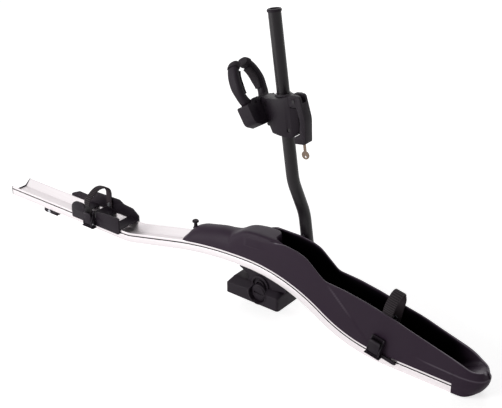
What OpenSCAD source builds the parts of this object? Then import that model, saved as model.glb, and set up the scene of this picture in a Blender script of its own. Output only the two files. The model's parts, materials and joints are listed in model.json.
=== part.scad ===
// Roof mounted bike carrier: a bent aluminium rail on two bar feet, a moulded front wheel tray,
// a folding frame arm with a locking claw clamp, and a sliding strap cradle for the rear wheel.
// X runs along the rail toward the front wheel, Y across it, Z up from the top of the roof bars.

/* [Rail] */
// Overall width of the extrusion
rail_w = 70; // [60:1:90]
// Overall height of the extrusion
rail_h = 26; // [24:0.5:32]
// Wall thickness of the extrusion
rail_wall = 2.5; // [2:0.1:3]
// Width of the flat floor of the wheel channel
rail_floor_w = 30; // [26:1:34]
// Width of the flat lip along each top edge
rail_lip_w = 3; // [2:0.5:5]
// Height of the side groove
groove_h = 3; // [2:0.5:4]
// Depth of the side groove
groove_depth = 3; // [2:0.5:4]
// Drop of the side groove below the top edge, to its middle
groove_drop = 7; // [6:0.5:9]
// Mouth width of the bolt slot in the underside
slot_mouth_w = 10; // [8:0.5:12]
// Inner width of the bolt slot
slot_w = 18; // [16:0.5:20]
// Inner height of the bolt slot
slot_h = 4.5; // [4:0.5:6]
// Thickness of the bolt slot lips
slot_lip = 2; // [1.5:0.5:3]
// Rear end of the rail
rail_rear_x = -900; // [-960:1:-880]
// Front end of the rail
rail_front_x = 540; // [500:1:560]
// Height of the rail's top edge over its rear run
rail_rear_top = 41; // [38:0.5:60]
// Where the level rear run ends
rear_run_end = -450; // [-460:1:-440]
// Radius of the bend that starts the climb
rear_bend_r = 150; // [120:5:180]
// Angle of the climb
climb_angle = 13; // [11:0.5:15]
// Where the straight climb ends
climb_end_x = -265; // [-290:1:-250]
// Place of the crest
crest_x = -25; // [-40:1:-10]
// Radius of the front side of the crest
fall_r = 420; // [400:5:440]
// Angle of the steepest fall
fall_angle = 31; // [29:0.5:33]
// Level length of the straight fall
fall_run = 10; // [6:1:20]
// Radius of the dip that ends the fall
dip_r = 320; // [300:5:340]

/* [Front foot] */
// Length of the foot along the rail
foot_l = 154; // [140:1:170]
// Width of the foot
foot_w = 80; // [76:1:90]
// Height of the wide base of the foot
foot_base_h = 48; // [44:1:52]
// Length of the saddle under the rail
saddle_l = 116; // [100:1:130]
// Thickness of the rubber pad under the foot
foot_pad_t = 4; // [3:0.5:6]
// Radius of the round lock cover on the foot
knob_r = 22; // [18:1:24]
// How far the lock cover stands out
knob_t = 8; // [6:0.5:10]
// Distance between the two bar bolt inserts
bar_bolt_pitch = 100; // [90:1:110]
// Radius of the bar bolts
bar_bolt_r = 4; // [3:0.5:5]

/* [Rear foot] */
// Middle of the rear foot along the rail
rear_foot_x = -742; // [-780:1:-700]
// Length of the rear foot
rear_foot_l = 53; // [45:1:60]
// Width of the rear foot
rear_foot_w = 66; // [56:1:68]
// Thickness of the rubber pad under the rear foot
rear_pad_t = 3; // [2:0.5:5]

/* [Tray] */
// Rear end of the moulded tray
tray_rear_x = -235; // [-245:1:-225]
// Front end of the nose
tray_front_x = 612; // [600:1:640]
// Half width of the tray at the rail
tray_half_w = 36.5; // [36:0.5:42]
// Wall thickness of the tray
tray_wall = 3.5; // [3:0.5:5]
// Length over which the nose rounds off
nose_round = 52; // [40:1:70]
// Height of the hump above the crest of the rail
hump_rise = 73; // [66:1:80]
// Where the wheel opening starts
well_start_x = 28; // [20:1:40]
// Floor thickness of the wheel well
well_floor = 4; // [3:0.5:6]

/* [Straps] */
// Width of the wheel straps
strap_w = 26; // [22:1:28]
// Thickness of the wheel straps
strap_t = 3; // [2.5:0.5:4]
// Height of the ribs across the straps
strap_rib = 1.2; // [0.8:0.1:1.6]
// Place of the front strap along the rail
front_strap_x = 368; // [350:1:390]
// Top of the front strap
front_strap_top = 146; // [138:1:156]
// Place of the rear strap along the rail
rear_strap_x = -564; // [-570:1:-558]
// Top of the rear strap
rear_strap_top = 126; // [118:1:136]

/* [Rear cradle] */
// Rear end of the cradle's far wall
cradle_rear_x = -722; // [-730:1:-712]
// Rear end of the cradle's near wall
cradle_near_x = -640; // [-650:1:-634]
// Front end of the cradle
cradle_front_x = -458; // [-462:1:-455]
// Wall thickness of the cradle
cradle_wall = 5; // [4:0.5:6]
// Top of the cradle walls
cradle_top = 82; // [78:1:90]

/* [Arm] */
// Place of the arm's pivot
arm_pivot_x = 95; // [90:1:100]
// Distance of the pivot from the rail's middle
arm_pivot_y = 55; // [54:0.5:60]
// Height of the arm's pivot
arm_pivot_z = 130; // [126:1:140]
// Rearward lean of the upright arm
arm_lean = 8.6; // [6:0.2:11]
// Outer radius of the arm tube
tube_r = 15; // [13:0.5:16]
// Wall of the arm tube
tube_wall = 2; // [1.5:0.1:2.5]
// Length of the arm from its pivot to its top
arm_l = 588; // [560:1:640]
// Sideways offset of the arm's upper part
arm_offset = 30; // [26:0.5:32]
// Radius of the two bends in the arm
arm_bend_r = 120; // [100:5:140]
// Angle of the two bends in the arm
arm_bend = 18; // [16:0.5:22]
// Height of the first bend above the pivot
arm_bend_s = 80; // [70:1:90]
// Radius of the pivot bolt
pivot_r = 5; // [4:0.5:6]

/* [Clamp head] */
// Height of the head along the arm
head_s = 350; // [330:1:380]
// Near face of the head, from the tube axis
head_near = 37; // [36:0.5:40]
// Far face of the head, from the tube axis
head_far = 21; // [20:0.5:24]
// Distance of the claw pivots behind the tube axis
claw_back = 61; // [59:0.5:64]
// Height of the claw pivots above the middle of the head
claw_up = 34; // [32:0.5:36]
// Rearward tilt of the claws from the arm
claw_tilt = 23.4; // [22:0.2:25]
// Half distance between the claw pivots
claw_half_pitch = 21; // [20:0.5:23]
// Height of the claw tips above their pivots
claw_h = 97; // [90:1:104]
// Width of the claws
claw_w = 23; // [20:0.5:24]
// Radius of the claw pins
claw_pin_r = 3.5; // [3:0.1:4]
// Radius of the draw rod
rod_r = 4; // [3:0.1:4.5]
// Distance of the draw rod below the claw pivots
rod_drop = 33; // [32:0.5:35]
// Distance of the lever pin in front of the claw pivots
lever_reach = 112; // [110:0.5:115]
// Radius of the lever pin
lever_pin_r = 4; // [3:0.1:4.5]
// Width of the lever
lever_w = 28; // [26:0.5:32]
// Radius of the lock barrel
lock_r = 6; // [5:0.5:7]

/* [Fits] */
// Clearance between pieces that lie against a curve
seat_gap = 0.3; // [0.2:0.05:0.5]
// Radial clearance of a pin in its bore
pin_fit = 0.05; // [0.02:0.01:0.1]
// Clearance of a sliding or turning piece
run_gap = 0.5; // [0.4:0.1:1]

/* [Hidden] */
$fn = 64;
over = 1;

// Colours
black_plastic = "#24222a";
black_tube = "#1d1b20";
silver = "#c9cacd";
steel = "#a9abae";
rubber = "#2c2b2e";

// Rail line: the path of the rail's top edge
rail_half = rail_w / 2;
bend_end_x = rear_run_end + rear_bend_r * sin(climb_angle);
bend_end_z = rail_rear_top + rear_bend_r * (1 - cos(climb_angle));
climb_end_z = bend_end_z + (climb_end_x - bend_end_x) * tan(climb_angle);
crest_r = (crest_x - climb_end_x) / sin(climb_angle);
crest_z = climb_end_z + crest_r * (1 - cos(climb_angle));
fall_x = crest_x + fall_r * sin(fall_angle);
fall_z = crest_z - fall_r * (1 - cos(fall_angle));
dip_start_x = fall_x + fall_run;
dip_start_z = fall_z - fall_run * tan(fall_angle);
dip_end_x = dip_start_x + dip_r * sin(fall_angle);
dip_z = dip_start_z - dip_r * (1 - cos(fall_angle));
channel_z = rail_h - slot_lip - slot_h - rail_wall;

// Height of the rail's top edge at a place along it
function rail_top(x) =
    x < rear_run_end ? rail_rear_top :
    x < bend_end_x ? rail_rear_top + rear_bend_r - sqrt(pow(rear_bend_r, 2) - pow(x - rear_run_end, 2)) :
    x < climb_end_x ? bend_end_z + (x - bend_end_x) * tan(climb_angle) :
    x < crest_x ? crest_z - crest_r + sqrt(pow(crest_r, 2) - pow(x - crest_x, 2)) :
    x < fall_x ? crest_z - fall_r + sqrt(pow(fall_r, 2) - pow(x - crest_x, 2)) :
    x < dip_start_x ? fall_z - (x - fall_x) * tan(fall_angle) :
    x < dip_end_x ? dip_z + dip_r - sqrt(pow(dip_r, 2) - pow(dip_end_x - x, 2)) :
    dip_z;

// Straight-line and averaged reading of a list of [place, value] knots
function knot(k, x, i = 0) =
    x <= k[0][0] ? k[0][1] :
    i >= len(k) - 1 ? k[len(k) - 1][1] :
    x <= k[i + 1][0] ? k[i][1] + (k[i + 1][1] - k[i][1]) * (x - k[i][0]) / (k[i + 1][0] - k[i][0]) :
    knot(k, x, i + 1);
function eased(k, x, reach) = (knot(k, x - reach) + 2 * knot(k, x - reach / 2) + 2 * knot(k, x)
    + 2 * knot(k, x + reach / 2) + knot(k, x + reach)) / 8;

// Signed power, for squared-off ovals
function spow(v, e) = sign(v) * pow(abs(v), e);
function clamp01(t) = min(1, max(0, t));

// Points of a corner at b between a and c, rounded to radius r
function corner(a, b, c, r, n = 6) =
    let (
        p = (a - b) / norm(a - b),
        q = (c - b) / norm(c - b),
        half = acos(max(-1, min(1, p * q))) / 2,
        back = min(r / tan(half), norm(a - b) * 0.49, norm(c - b) * 0.49),
        rr = back * tan(half),
        mid = (p + q) / norm(p + q),
        centre = b + mid * rr / sin(half),
        from = b + p * back - centre,
        to = b + q * back - centre,
        a0 = atan2(from[1], from[0]),
        turn = atan2(from[0] * to[1] - from[1] * to[0], from * to)
    )
    [for (i = [0 : n]) centre + rr * [cos(a0 + turn * i / n), sin(a0 + turn * i / n)]];

// Closed outline from [x, y, corner radius] points
function outline(k) = [for (i = [0 : len(k) - 1])
    let (
        a = k[(i + len(k) - 1) % len(k)],
        b = k[i],
        c = k[(i + 1) % len(k)]
    )
    each (b[2] == 0 ? [[b[0], b[1]]] : corner([a[0], a[1]], [b[0], b[1]], [c[0], c[1]], b[2]))];

// Open line from [x, y, corner radius] points
function bent_line(k) = [for (i = [0 : len(k) - 1])
    each (i == 0 || i == len(k) - 1 ? [[k[i][0], k[i][1]]] :
        corner([k[i - 1][0], k[i - 1][1]], [k[i][0], k[i][1]], [k[i + 1][0], k[i + 1][1]], k[i][2], 12))];
function heading(p, i) = let (a = p[max(0, i - 1)], b = p[min(len(p) - 1, i + 1)]) (b - a) / norm(b - a);
function left_of(d) = [-d[1], d[0]];
function side_line(p, off) = [for (i = [0 : len(p) - 1]) p[i] + left_of(heading(p, i)) * off];
function run_to(p, i) = i <= 0 ? 0 : norm(p[i] - p[i - 1]) + run_to(p, i - 1);
function line_len(p) = run_to(p, len(p) - 1);

// Place [x, y, angle] at a distance along an open line
function along(p, d, i = 0) =
    let (seg = p[i + 1] - p[i], l = norm(seg))
    d <= l || i >= len(p) - 2 ?
        [p[i][0] + seg[0] * d / l, p[i][1] + seg[1] * d / l, atan2(seg[1], seg[0])] :
        along(p, d - l, i + 1);

// Solid through a list of closed rings that have the same number of points
module loft(rings) {
    n = len(rings[0]);
    m = len(rings);
    points = [for (r = rings) each r];
    sides = [for (j = [0 : m - 2]) for (i = [0 : n - 1])
        let (a = j * n + i, b = j * n + (i + 1) % n)
        each [[a, b, b + n], [a, b + n, a + n]]];
    first = [for (i = [n - 1 : -1 : 0]) i];
    last = [for (i = [0 : n - 1]) (m - 1) * n + i];
    polyhedron(points, concat(sides, [first, last]));
}

module x_rod(r, x0, x1) {
    translate([x0, 0, 0])
        rotate([0, 90, 0])
            cylinder(r = r, h = x1 - x0);
}

module y_rod(r, y0, y1) {
    translate([0, y1, 0])
        rotate([90, 0, 0])
            cylinder(r = r, h = y1 - y0);
}

// Extrudes an outline drawn in X and Z across Y
module across(y0, y1) {
    translate([0, y1, 0])
        rotate([90, 0, 0])
            linear_extrude(y1 - y0)
                children();
}

// Extrudes an outline drawn in Y and Z along X
module lengthwise(x0, x1) {
    translate([x0, 0, 0])
        rotate([90, 0, 90])
            linear_extrude(x1 - x0)
                children();
}

// Rail pieces: a straight run, a crest and a dip of one cross-section
module run_line(x, z, l, climb) {
    translate([x, 0, z])
        rotate([0, -climb, 0])
            rotate([90, 0, 90])
                linear_extrude(l)
                    children();
}

module run_crest(x, z, r, start, sweep) {
    translate([x, 0, z - r])
        rotate([90, 0, 0])
            rotate(start)
                rotate_extrude(angle = sweep, $fn = 360)
                    translate([r, 0])
                        rotate(-90)
                            children();
}

module run_dip(x, z, r, start, sweep) {
    translate([x, 0, z + r])
        rotate([90, 0, 0])
            rotate(start)
                rotate_extrude(angle = sweep, $fn = 360)
                    translate([r, 0])
                        rotate(90)
                            children();
}

module along_rail() {
    run_line(rail_rear_x, rail_rear_top, rear_run_end - rail_rear_x, 0) children();
    run_dip(rear_run_end, rail_rear_top, rear_bend_r, -90, climb_angle) children();
    run_line(bend_end_x, bend_end_z, (climb_end_x - bend_end_x) / cos(climb_angle), climb_angle) children();
    run_crest(crest_x, crest_z, crest_r, 90, climb_angle) children();
    run_crest(crest_x, crest_z, fall_r, 90 - fall_angle, fall_angle) children();
    run_line(fall_x, fall_z, fall_run / cos(fall_angle), -fall_angle) children();
    run_dip(dip_end_x, dip_z, dip_r, -90 - fall_angle, fall_angle) children();
    run_line(dip_end_x, dip_z, rail_front_x - dip_end_x, 0) children();
}

// Cross-section of the rail: Y across, Z down from the top edge
wall_slope = channel_z / (rail_half - rail_lip_w - rail_floor_w / 2);
function slope_under(y) = -channel_z + (y - rail_floor_w / 2) * wall_slope
    - rail_wall * sqrt(1 + pow(wall_slope, 2));
chamber_top_y = rail_half - groove_depth - rail_wall;
chamber_step = -groove_drop - groove_h / 2 - rail_wall;
chamber_low = -channel_z - rail_wall;
chamber_slope_y = rail_floor_w / 2 + (chamber_low + channel_z + rail_wall * sqrt(1 + pow(wall_slope, 2))) / wall_slope;

function chamber(shrink = 0) = [
    [chamber_top_y - shrink, slope_under(chamber_top_y) - 2 * shrink],
    [chamber_top_y - shrink, chamber_step - shrink],
    [rail_half - rail_wall - shrink, chamber_step - shrink],
    [rail_half - rail_wall - shrink, -rail_h + rail_wall + shrink],
    [slot_w / 2 + rail_wall + shrink, -rail_h + rail_wall + shrink],
    [slot_w / 2 + rail_wall + shrink, chamber_low - shrink],
    [chamber_slope_y, chamber_low - shrink]];

module channel_outline(raise = 0) {
    polygon([[-rail_half, 0], [-rail_half + rail_lip_w, 0], [-rail_floor_w / 2, -channel_z + raise],
        [rail_floor_w / 2, -channel_z + raise], [rail_half - rail_lip_w, 0], [rail_half, 0],
        [rail_half, -rail_h], [-rail_half, -rail_h]]);
}

// Outline of the extrusion without its closed chambers, one side mirrored to the other
half_profile = [
    [rail_floor_w / 2, -channel_z],
    [rail_half - rail_lip_w, 0],
    [rail_half, 0],
    [rail_half, -groove_drop + groove_h / 2],
    [rail_half - groove_depth, -groove_drop + groove_h / 2],
    [rail_half - groove_depth, -groove_drop - groove_h / 2],
    [rail_half, -groove_drop - groove_h / 2],
    [rail_half, -rail_h],
    [slot_mouth_w / 2, -rail_h],
    [slot_mouth_w / 2, -rail_h + slot_lip],
    [slot_w / 2, -rail_h + slot_lip],
    [slot_w / 2, -rail_h + slot_lip + slot_h]];
rail_outline = concat(half_profile, [for (i = [len(half_profile) - 1 : -1 : 0])
    [-half_profile[i][0], half_profile[i][1]]]);

// Stations [x, z, climb] along the rail's line: straights have two, bends one every few degrees
bend_step = 3;
function bend_angles(from, to) =
    let (n = ceil(abs(to - from) / bend_step))
    [for (i = [0 : n]) from + (to - from) * i / n];
rail_stations = concat(
    [[rail_rear_x, rail_rear_top, 0]],
    [for (a = bend_angles(0, climb_angle))
        [rear_run_end + rear_bend_r * sin(a), rail_rear_top + rear_bend_r * (1 - cos(a)), a]],
    [for (a = bend_angles(climb_angle, 0))
        [crest_x - crest_r * sin(a), crest_z - crest_r * (1 - cos(a)), a]],
    [for (a = bend_angles(0, -fall_angle)) if (a < 0)
        [crest_x - fall_r * sin(a), crest_z - fall_r * (1 - cos(a)), a]],
    [for (a = bend_angles(-fall_angle, 0))
        [dip_end_x + dip_r * sin(a), dip_z + dip_r * (1 - cos(a)), a]],
    [[rail_front_x, dip_z, 0]]);

module rail_loft(section, stretch = 0) {
    last = len(rail_stations) - 1;
    loft([for (i = [0 : last])
        let (s = rail_stations[i], push = i == 0 ? -stretch : i == last ? stretch : 0)
        [for (p = section) [s[0] + push - p[1] * sin(s[2]), p[0], s[1] + p[1] * cos(s[2])]]]);
}

// Everything from the rail's underside up, with a gap below it
module above_rail(gap) {
    along_rail()
        translate([-rail_w, -rail_h - gap])
            square([2 * rail_w, rail_h + crest_z / 2]);
}

// Tray outline: crown height above the rail's crest, squareness of the closed section
tray_crown = [[tray_rear_x, -15], [tray_rear_x + 19, 12], [-190, 25], [-125, 42], [-72, 51], [-52, 60],
    [-30, hump_rise - 3], [0, hump_rise], [100, hump_rise], [128, hump_rise - 2], [150, 59], [200, 22],
    [255, 14], [312, 1], [388, -14], [455, -30], [505, -45], [566, -60], [tray_front_x - 12, -63],
    [tray_front_x, -75]];
tray_square = [[tray_rear_x, 2.2], [-100, 2.4], [-60, 3], [0, 5], [130, 6], [tray_front_x, 4]];
tray_lean = 3.5;
nose_tip_half_w = 3;
nose_base_z = dip_z - rail_h + 2;
tail_round = 25;
tail_inset = 5;
well_end_x = tray_front_x - 2.5 * tray_wall;
well_entry = 70;
well_exit = 45;
cavity_front = well_start_x - 12;
cavity_half_w = 22;
cavity_line = [[tray_rear_x + 30, -rail_h], [-190, 6], [-72, 30], [-30, hump_rise - 20],
    [cavity_front, hump_rise - 20], [cavity_front, -rail_h]];

function smooth01(t) = let (c = clamp01(t)) c * c * (3 - 2 * c);
function crown(x) = crest_z + eased(tray_crown, x, 9);
function tray_base(x) = x > rail_front_x + 1.5 * seat_gap ? nose_base_z : rail_top(x) + seat_gap;
function tray_half(x) =
    let (
        nose = clamp01((x - tray_front_x + nose_round) / nose_round),
        tail = clamp01((tray_rear_x + tail_round - x) / tail_round)
    )
    max(nose_tip_half_w, tray_half_w * sqrt(1 - nose * nose) - tail_inset * tail * tail);

// How far the section has opened from the closed hump, or the closed nose, into the wheel well
function well_open(x) = smooth01((x - well_start_x) / well_entry) * smooth01((well_end_x - x) / well_exit);

// Half sections from the foot of the wall up and in to the middle: closed arch, and open trough
side_n = 14;
function arch_half(x) =
    let (half = tray_half(x), low = tray_base(x), e = 2 / knot(tray_square, x))
    [for (k = [0 : side_n])
        let (a = 90 * k / side_n)
        [half * pow(cos(a), e) - tray_lean * pow(sin(a), e) * cos(a), low + (crown(x) - low) * pow(sin(a), e)]];
function trough_half(x) =
    let (
        half = tray_half(x),
        low = tray_base(x),
        r = tray_wall / 2,
        rim_y = half - tray_lean - r,
        rim_z = crown(x) - r,
        in_y = rim_y - r,
        floor_z = rail_top(x) + seat_gap + well_floor,
        turn = min(12, in_y / 2)
    )
    concat(
        [for (k = [0 : 5]) [half - tray_lean * k / 5, low + (rim_z - low) * k / 5]],
        [for (a = [45 : 45 : 180]) [rim_y + r * cos(a), rim_z + r * sin(a)]],
        [for (k = [1 : 2]) [in_y, rim_z + (floor_z + turn - rim_z) * k / 2]],
        [[in_y - turn * 0.3, floor_z + turn * 0.3], [in_y - turn, floor_z], [0, floor_z]]);
function tray_ring(x) =
    let (
        c = well_open(x),
        arch = arch_half(x),
        trough = trough_half(x),
        side = [for (k = [0 : side_n]) arch[k] * (1 - c) + trough[k] * c],
        other = [for (k = [side_n - 1 : -1 : 0]) [-side[k][0], side[k][1]]]
    )
    [for (p = concat(side, other)) [x, p[0], p[1]]];

tray_steps = concat([tray_rear_x, tray_rear_x + 6],
    [for (x = [tray_rear_x + 18 : 24 : -74]) x],
    [for (x = [-68 : 12 : -8]) x],
    [for (x = [4 : 21 : 120]) x],
    [for (x = [126 : 13 : 205]) x],
    [for (x = [218 : 25 : dip_end_x]) x],
    [for (x = [dip_end_x + 16 : 50 : rail_front_x - 20]) x],
    [rail_front_x + seat_gap, rail_front_x + 2 * seat_gap],
    [for (t = [0 : 0.125 : 1]) tray_front_x - nose_round * pow(1 - t, 1.6)]);

// Front strap frame: on the rim, square to the slope of the tray
strap_lean = 11;
strap_rim_z = crest_z - 7;
strap_in_y = tray_half_w - tray_lean - tray_wall - strap_t / 2 - strap_rib - run_gap;
strap_exit = -78;
buckle_back = 3;
strap_out_y = tray_half_w + seat_gap + buckle_back + strap_t / 2 + run_gap;
buckle_h = 46;
buckle_w = strap_w + 7;
front_strap_line = bent_line([[-strap_out_y, strap_exit - 14, 0], [-strap_out_y, strap_exit, 5],
    [-strap_in_y, strap_exit + 4, 5], [-strap_in_y, 16, 20], [-10, front_strap_top - strap_rim_z, 22],
    [10, front_strap_top - strap_rim_z, 22], [strap_in_y, 16, 20], [strap_in_y, strap_exit + 30, 0]]);
rivet_r = 3;
rivet_head_r = 6;
front_rivet_z = strap_exit + 38;

module on_front_strap() {
    translate([front_strap_x, 0, strap_rim_z])
        rotate([0, strap_lean, 0])
            children();
}

// Outline of a strap with ribs on its outer side, the outer side being to the left of the line
strap_pitch = 7;
rib_edge = 0.2;
function strap_edge(line, d, off) =
    let (p = along(line, d))
    [p[0] - off * sin(p[2]), p[1] + off * cos(p[2])];
function strap_band(line, from, to) =
    let (
        low = strap_t / 2,
        high = strap_t / 2 + strap_rib,
        outer = side_line(line, low),
        inner = side_line(line, -low),
        ribs = floor((to - from) / strap_pitch),
        rib_end = from + (ribs + 0.5) * strap_pitch + rib_edge
    )
    concat([for (i = [0 : len(line) - 1]) if (run_to(line, i) < from) outer[i]],
        [for (i = [0 : ribs]) let (d = from + i * strap_pitch)
            each [strap_edge(line, d, low), strap_edge(line, d + rib_edge, high),
                strap_edge(line, d + strap_pitch / 2, high), strap_edge(line, d + strap_pitch / 2 + rib_edge, low)]],
        [for (i = [0 : len(line) - 1]) if (run_to(line, i) > rib_end) outer[i]],
        [for (i = [len(inner) - 1 : -1 : 0]) inner[i]]);

module rail() {
    color(silver)
        difference() {
            rail_loft(rail_outline, over);
            rail_loft(chamber(), 2 * over);
            mirror([0, 1, 0])
                rail_loft(chamber(), 2 * over);
            for (x = [rail_rear_x - 3 * over, rail_front_x])
                translate([x, -rail_w, -rail_w])
                    cube([3 * over, 2 * rail_w, 3 * rail_w]);
            for (x = tray_screw_x)
                translate([x, 0, dip_z - rail_h - over])
                    cylinder(r = tray_screw_r, h = rail_h);
            for (p = bracket_bolt_at)
                translate([p[0], 0, p[1]])
                    y_rod(bracket_bolt_r, rail_half - 2 * rail_wall, rail_half + over);
        }
}

// Rear end cap: a plate with a raised lip in the channel and plugs in the hollow chambers
cap_t = 3;
cap_plug = 14;
cap_lip = 3;
module rail_end_cap() {
    color(black_plastic)
        translate([0, 0, rail_rear_top]) {
            lengthwise(rail_rear_x - cap_t, rail_rear_x)
                channel_outline(cap_lip);
            for (s = [0, 1])
                mirror([0, s, 0])
                    lengthwise(rail_rear_x - over, rail_rear_x + cap_plug)
                        polygon(chamber(seat_gap));
        }
}

tray_screw_x = [rail_front_x - 130, rail_front_x - 30];
tray_screw_r = 2.5;
tray_screw_head_r = 5;
tray_screw_head_h = 3;
tray_boss_r = 8;
peg_x = tray_rear_x + 18;
peg_r = 5;
peg_flange_r = 8.5;
peg_h = 22;
peg_seat_z = crown(peg_x) - 2;

module tray_shell() {
    color(black_plastic)
        difference() {
            loft([for (x = tray_steps) tray_ring(x)]);
            across(-cavity_half_w, cavity_half_w)
                polygon([for (p = cavity_line) [p[0], crest_z + p[1]]]);
            on_front_strap()
                translate([-strap_w / 2 - run_gap, -tray_half_w - 5, strap_exit - 3])
                    cube([strap_w + 2 * run_gap, tray_half_w - strap_in_y + 9, 11]);
            on_front_strap()
                translate([0, 0, front_rivet_z])
                    y_rod(rivet_r, strap_in_y, tray_half_w + 5);
            for (x = tray_screw_x)
                translate([x, 0, dip_z - channel_z - over])
                    cylinder(r = tray_screw_r, h = rail_h + well_floor);
            translate([peg_x, 0, peg_seat_z - 10])
                cylinder(r = peg_r - 1, h = 20);
            translate([peg_x, 0, peg_seat_z])
                cylinder(r = peg_flange_r + seat_gap, h = 40);
        }
}

// Shoulder screws: the thick shoulder bridges the rail's open channel
module tray_screws() {
    color(steel)
        for (x = tray_screw_x)
            translate([x, 0, dip_z + seat_gap + well_floor]) {
                cylinder(r = tray_screw_head_r, h = tray_screw_head_h);
                translate([0, 0, -well_floor - channel_z - rail_wall - 2])
                    cylinder(r = tray_screw_r - pin_fit, h = well_floor + channel_z + rail_wall + 2 + over);
                translate([0, 0, -well_floor - channel_z - seat_gap])
                    cylinder(r = tray_boss_r, h = channel_z + seat_gap);
            }
}

// Buffer peg that the folded arm's head comes down on
module rest_peg() {
    color(rubber)
        translate([peg_x, 0, peg_seat_z])
            rotate_extrude()
                polygon([[0, -8], [peg_r - 1 - pin_fit, -8], [peg_r - 1 - pin_fit, 0], [peg_r + 2, 0], [peg_r, 4],
                    [peg_r - 1, peg_h - 7], [peg_flange_r, peg_h - 5], [peg_flange_r, peg_h - 2],
                    [peg_flange_r - 2, peg_h], [0, peg_h]]);
}

module front_strap() {
    color(rubber)
        on_front_strap()
            difference() {
                lengthwise(-strap_w / 2, strap_w / 2)
                    polygon(strap_band(front_strap_line, 60, line_len(front_strap_line) - 50));
                translate([0, 0, front_rivet_z])
                    y_rod(rivet_r, 0, tray_half_w);
            }
}

module front_strap_rivet() {
    color(steel)
        on_front_strap()
            translate([0, 0, front_rivet_z]) {
                y_rod(rivet_r - pin_fit, strap_in_y - strap_t / 2 - over, tray_half_w + 2.5);
                y_rod(rivet_head_r, strap_in_y - strap_t / 2 - 2, strap_in_y - strap_t / 2);
                y_rod(rivet_head_r, tray_half_w + seat_gap, tray_half_w + 2.5);
            }
}

// Buckle: a body with a strap channel, a hinge at its foot and a swing lever; Y points at the wheel
buckle_d = 15;
buckle_pin_r = 2.5;
buckle_pin_z = 9;
buckle_pin_y = -buckle_d + 5;
buckle_window_z = 25;
buckle_window_h = 13;

module buckle_body() {
    difference() {
        union() {
            lengthwise(-buckle_w / 2, buckle_w / 2)
                polygon(outline([[0, 0, 0], [0, buckle_h, 0], [-buckle_back, buckle_h, 1],
                    [-buckle_d, 16, 4], [-buckle_d, 0, 4]]));
            lengthwise(-buckle_w / 2 - 3, buckle_w / 2 + 3)
                polygon([[0, -4], [0, 0], [-buckle_d - 1, 0], [-buckle_d - 1, -2], [-buckle_d + 1, -4]]);
        }
        translate([-strap_w / 2 - run_gap, -buckle_d - 2, 4])
            cube([strap_w + 2 * run_gap, buckle_d + 2 - buckle_back, buckle_h]);
        translate([-strap_w / 2 - run_gap, -buckle_back - over, buckle_window_z])
            cube([strap_w + 2 * run_gap, buckle_back + 2 * over, buckle_window_h]);
        translate([0, buckle_pin_y, buckle_pin_z])
            x_rod(buckle_pin_r, -buckle_w, buckle_w);
    }
}

module buckle_pin() {
    translate([0, buckle_pin_y, buckle_pin_z])
        x_rod(buckle_pin_r - pin_fit, -buckle_w / 2, buckle_w / 2);
}

module buckle_lever() {
    translate([0, buckle_pin_y, buckle_pin_z])
        difference() {
            lengthwise(-strap_w / 2, strap_w / 2)
                union() {
                    circle(r = buckle_pin_r + 2);
                    polygon(outline([[-buckle_pin_r - 2, -1, 1], [-buckle_pin_r + 1, -1, 1], [1, 27, 6], [-3, 33, 1],
                        [-7, 33, 1], [-4, 24, 8]]));
                }
            x_rod(buckle_pin_r, -buckle_w, buckle_w);
        }
}

// Seat of the front buckle on the near wall of the tray
module at_front_buckle() {
    on_front_strap()
        translate([0, -tray_half_w - seat_gap, strap_exit - 30])
            children();
}

module front_buckle() {
    color(black_plastic)
        at_front_buckle()
            buckle_body();
}

module front_buckle_pin() {
    color(steel)
        at_front_buckle()
            buckle_pin();
}

module front_buckle_lever() {
    color(black_plastic)
        at_front_buckle()
            buckle_lever();
}

// Rear wheel cradle: two side walls that hook into the rail's grooves, joined by bridges over the channel
cradle_in_y = rail_half + seat_gap;
cradle_out_y = cradle_in_y + cradle_wall;
cradle_low = rail_rear_top - groove_drop - groove_h / 2 - 4;
bridge_t = 3;
hook_h = groove_h - 2 * seat_gap;
cradle_strap_y = cradle_in_y - strap_t / 2 - strap_rib - run_gap;
rear_strap_out_y = cradle_out_y + seat_gap + buckle_back + strap_t / 2 + run_gap;
rear_buckle_z = cradle_low - 1;
rear_rivet_z = cradle_top - 22;
rear_strap_line = bent_line([[-rear_strap_out_y, rear_buckle_z + 16, 0], [-rear_strap_out_y, rear_buckle_z + 46, 20],
    [-rear_strap_out_y - 8, rear_strap_top - 24, 22], [-6, rear_strap_top + 4, 40],
    [cradle_strap_y, rear_strap_top - 16, 24], [cradle_strap_y, rear_rivet_z - 9, 0]]);

module at_rear_buckle() {
    translate([rear_strap_x, -cradle_out_y - seat_gap, rear_buckle_z])
        children();
}

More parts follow.
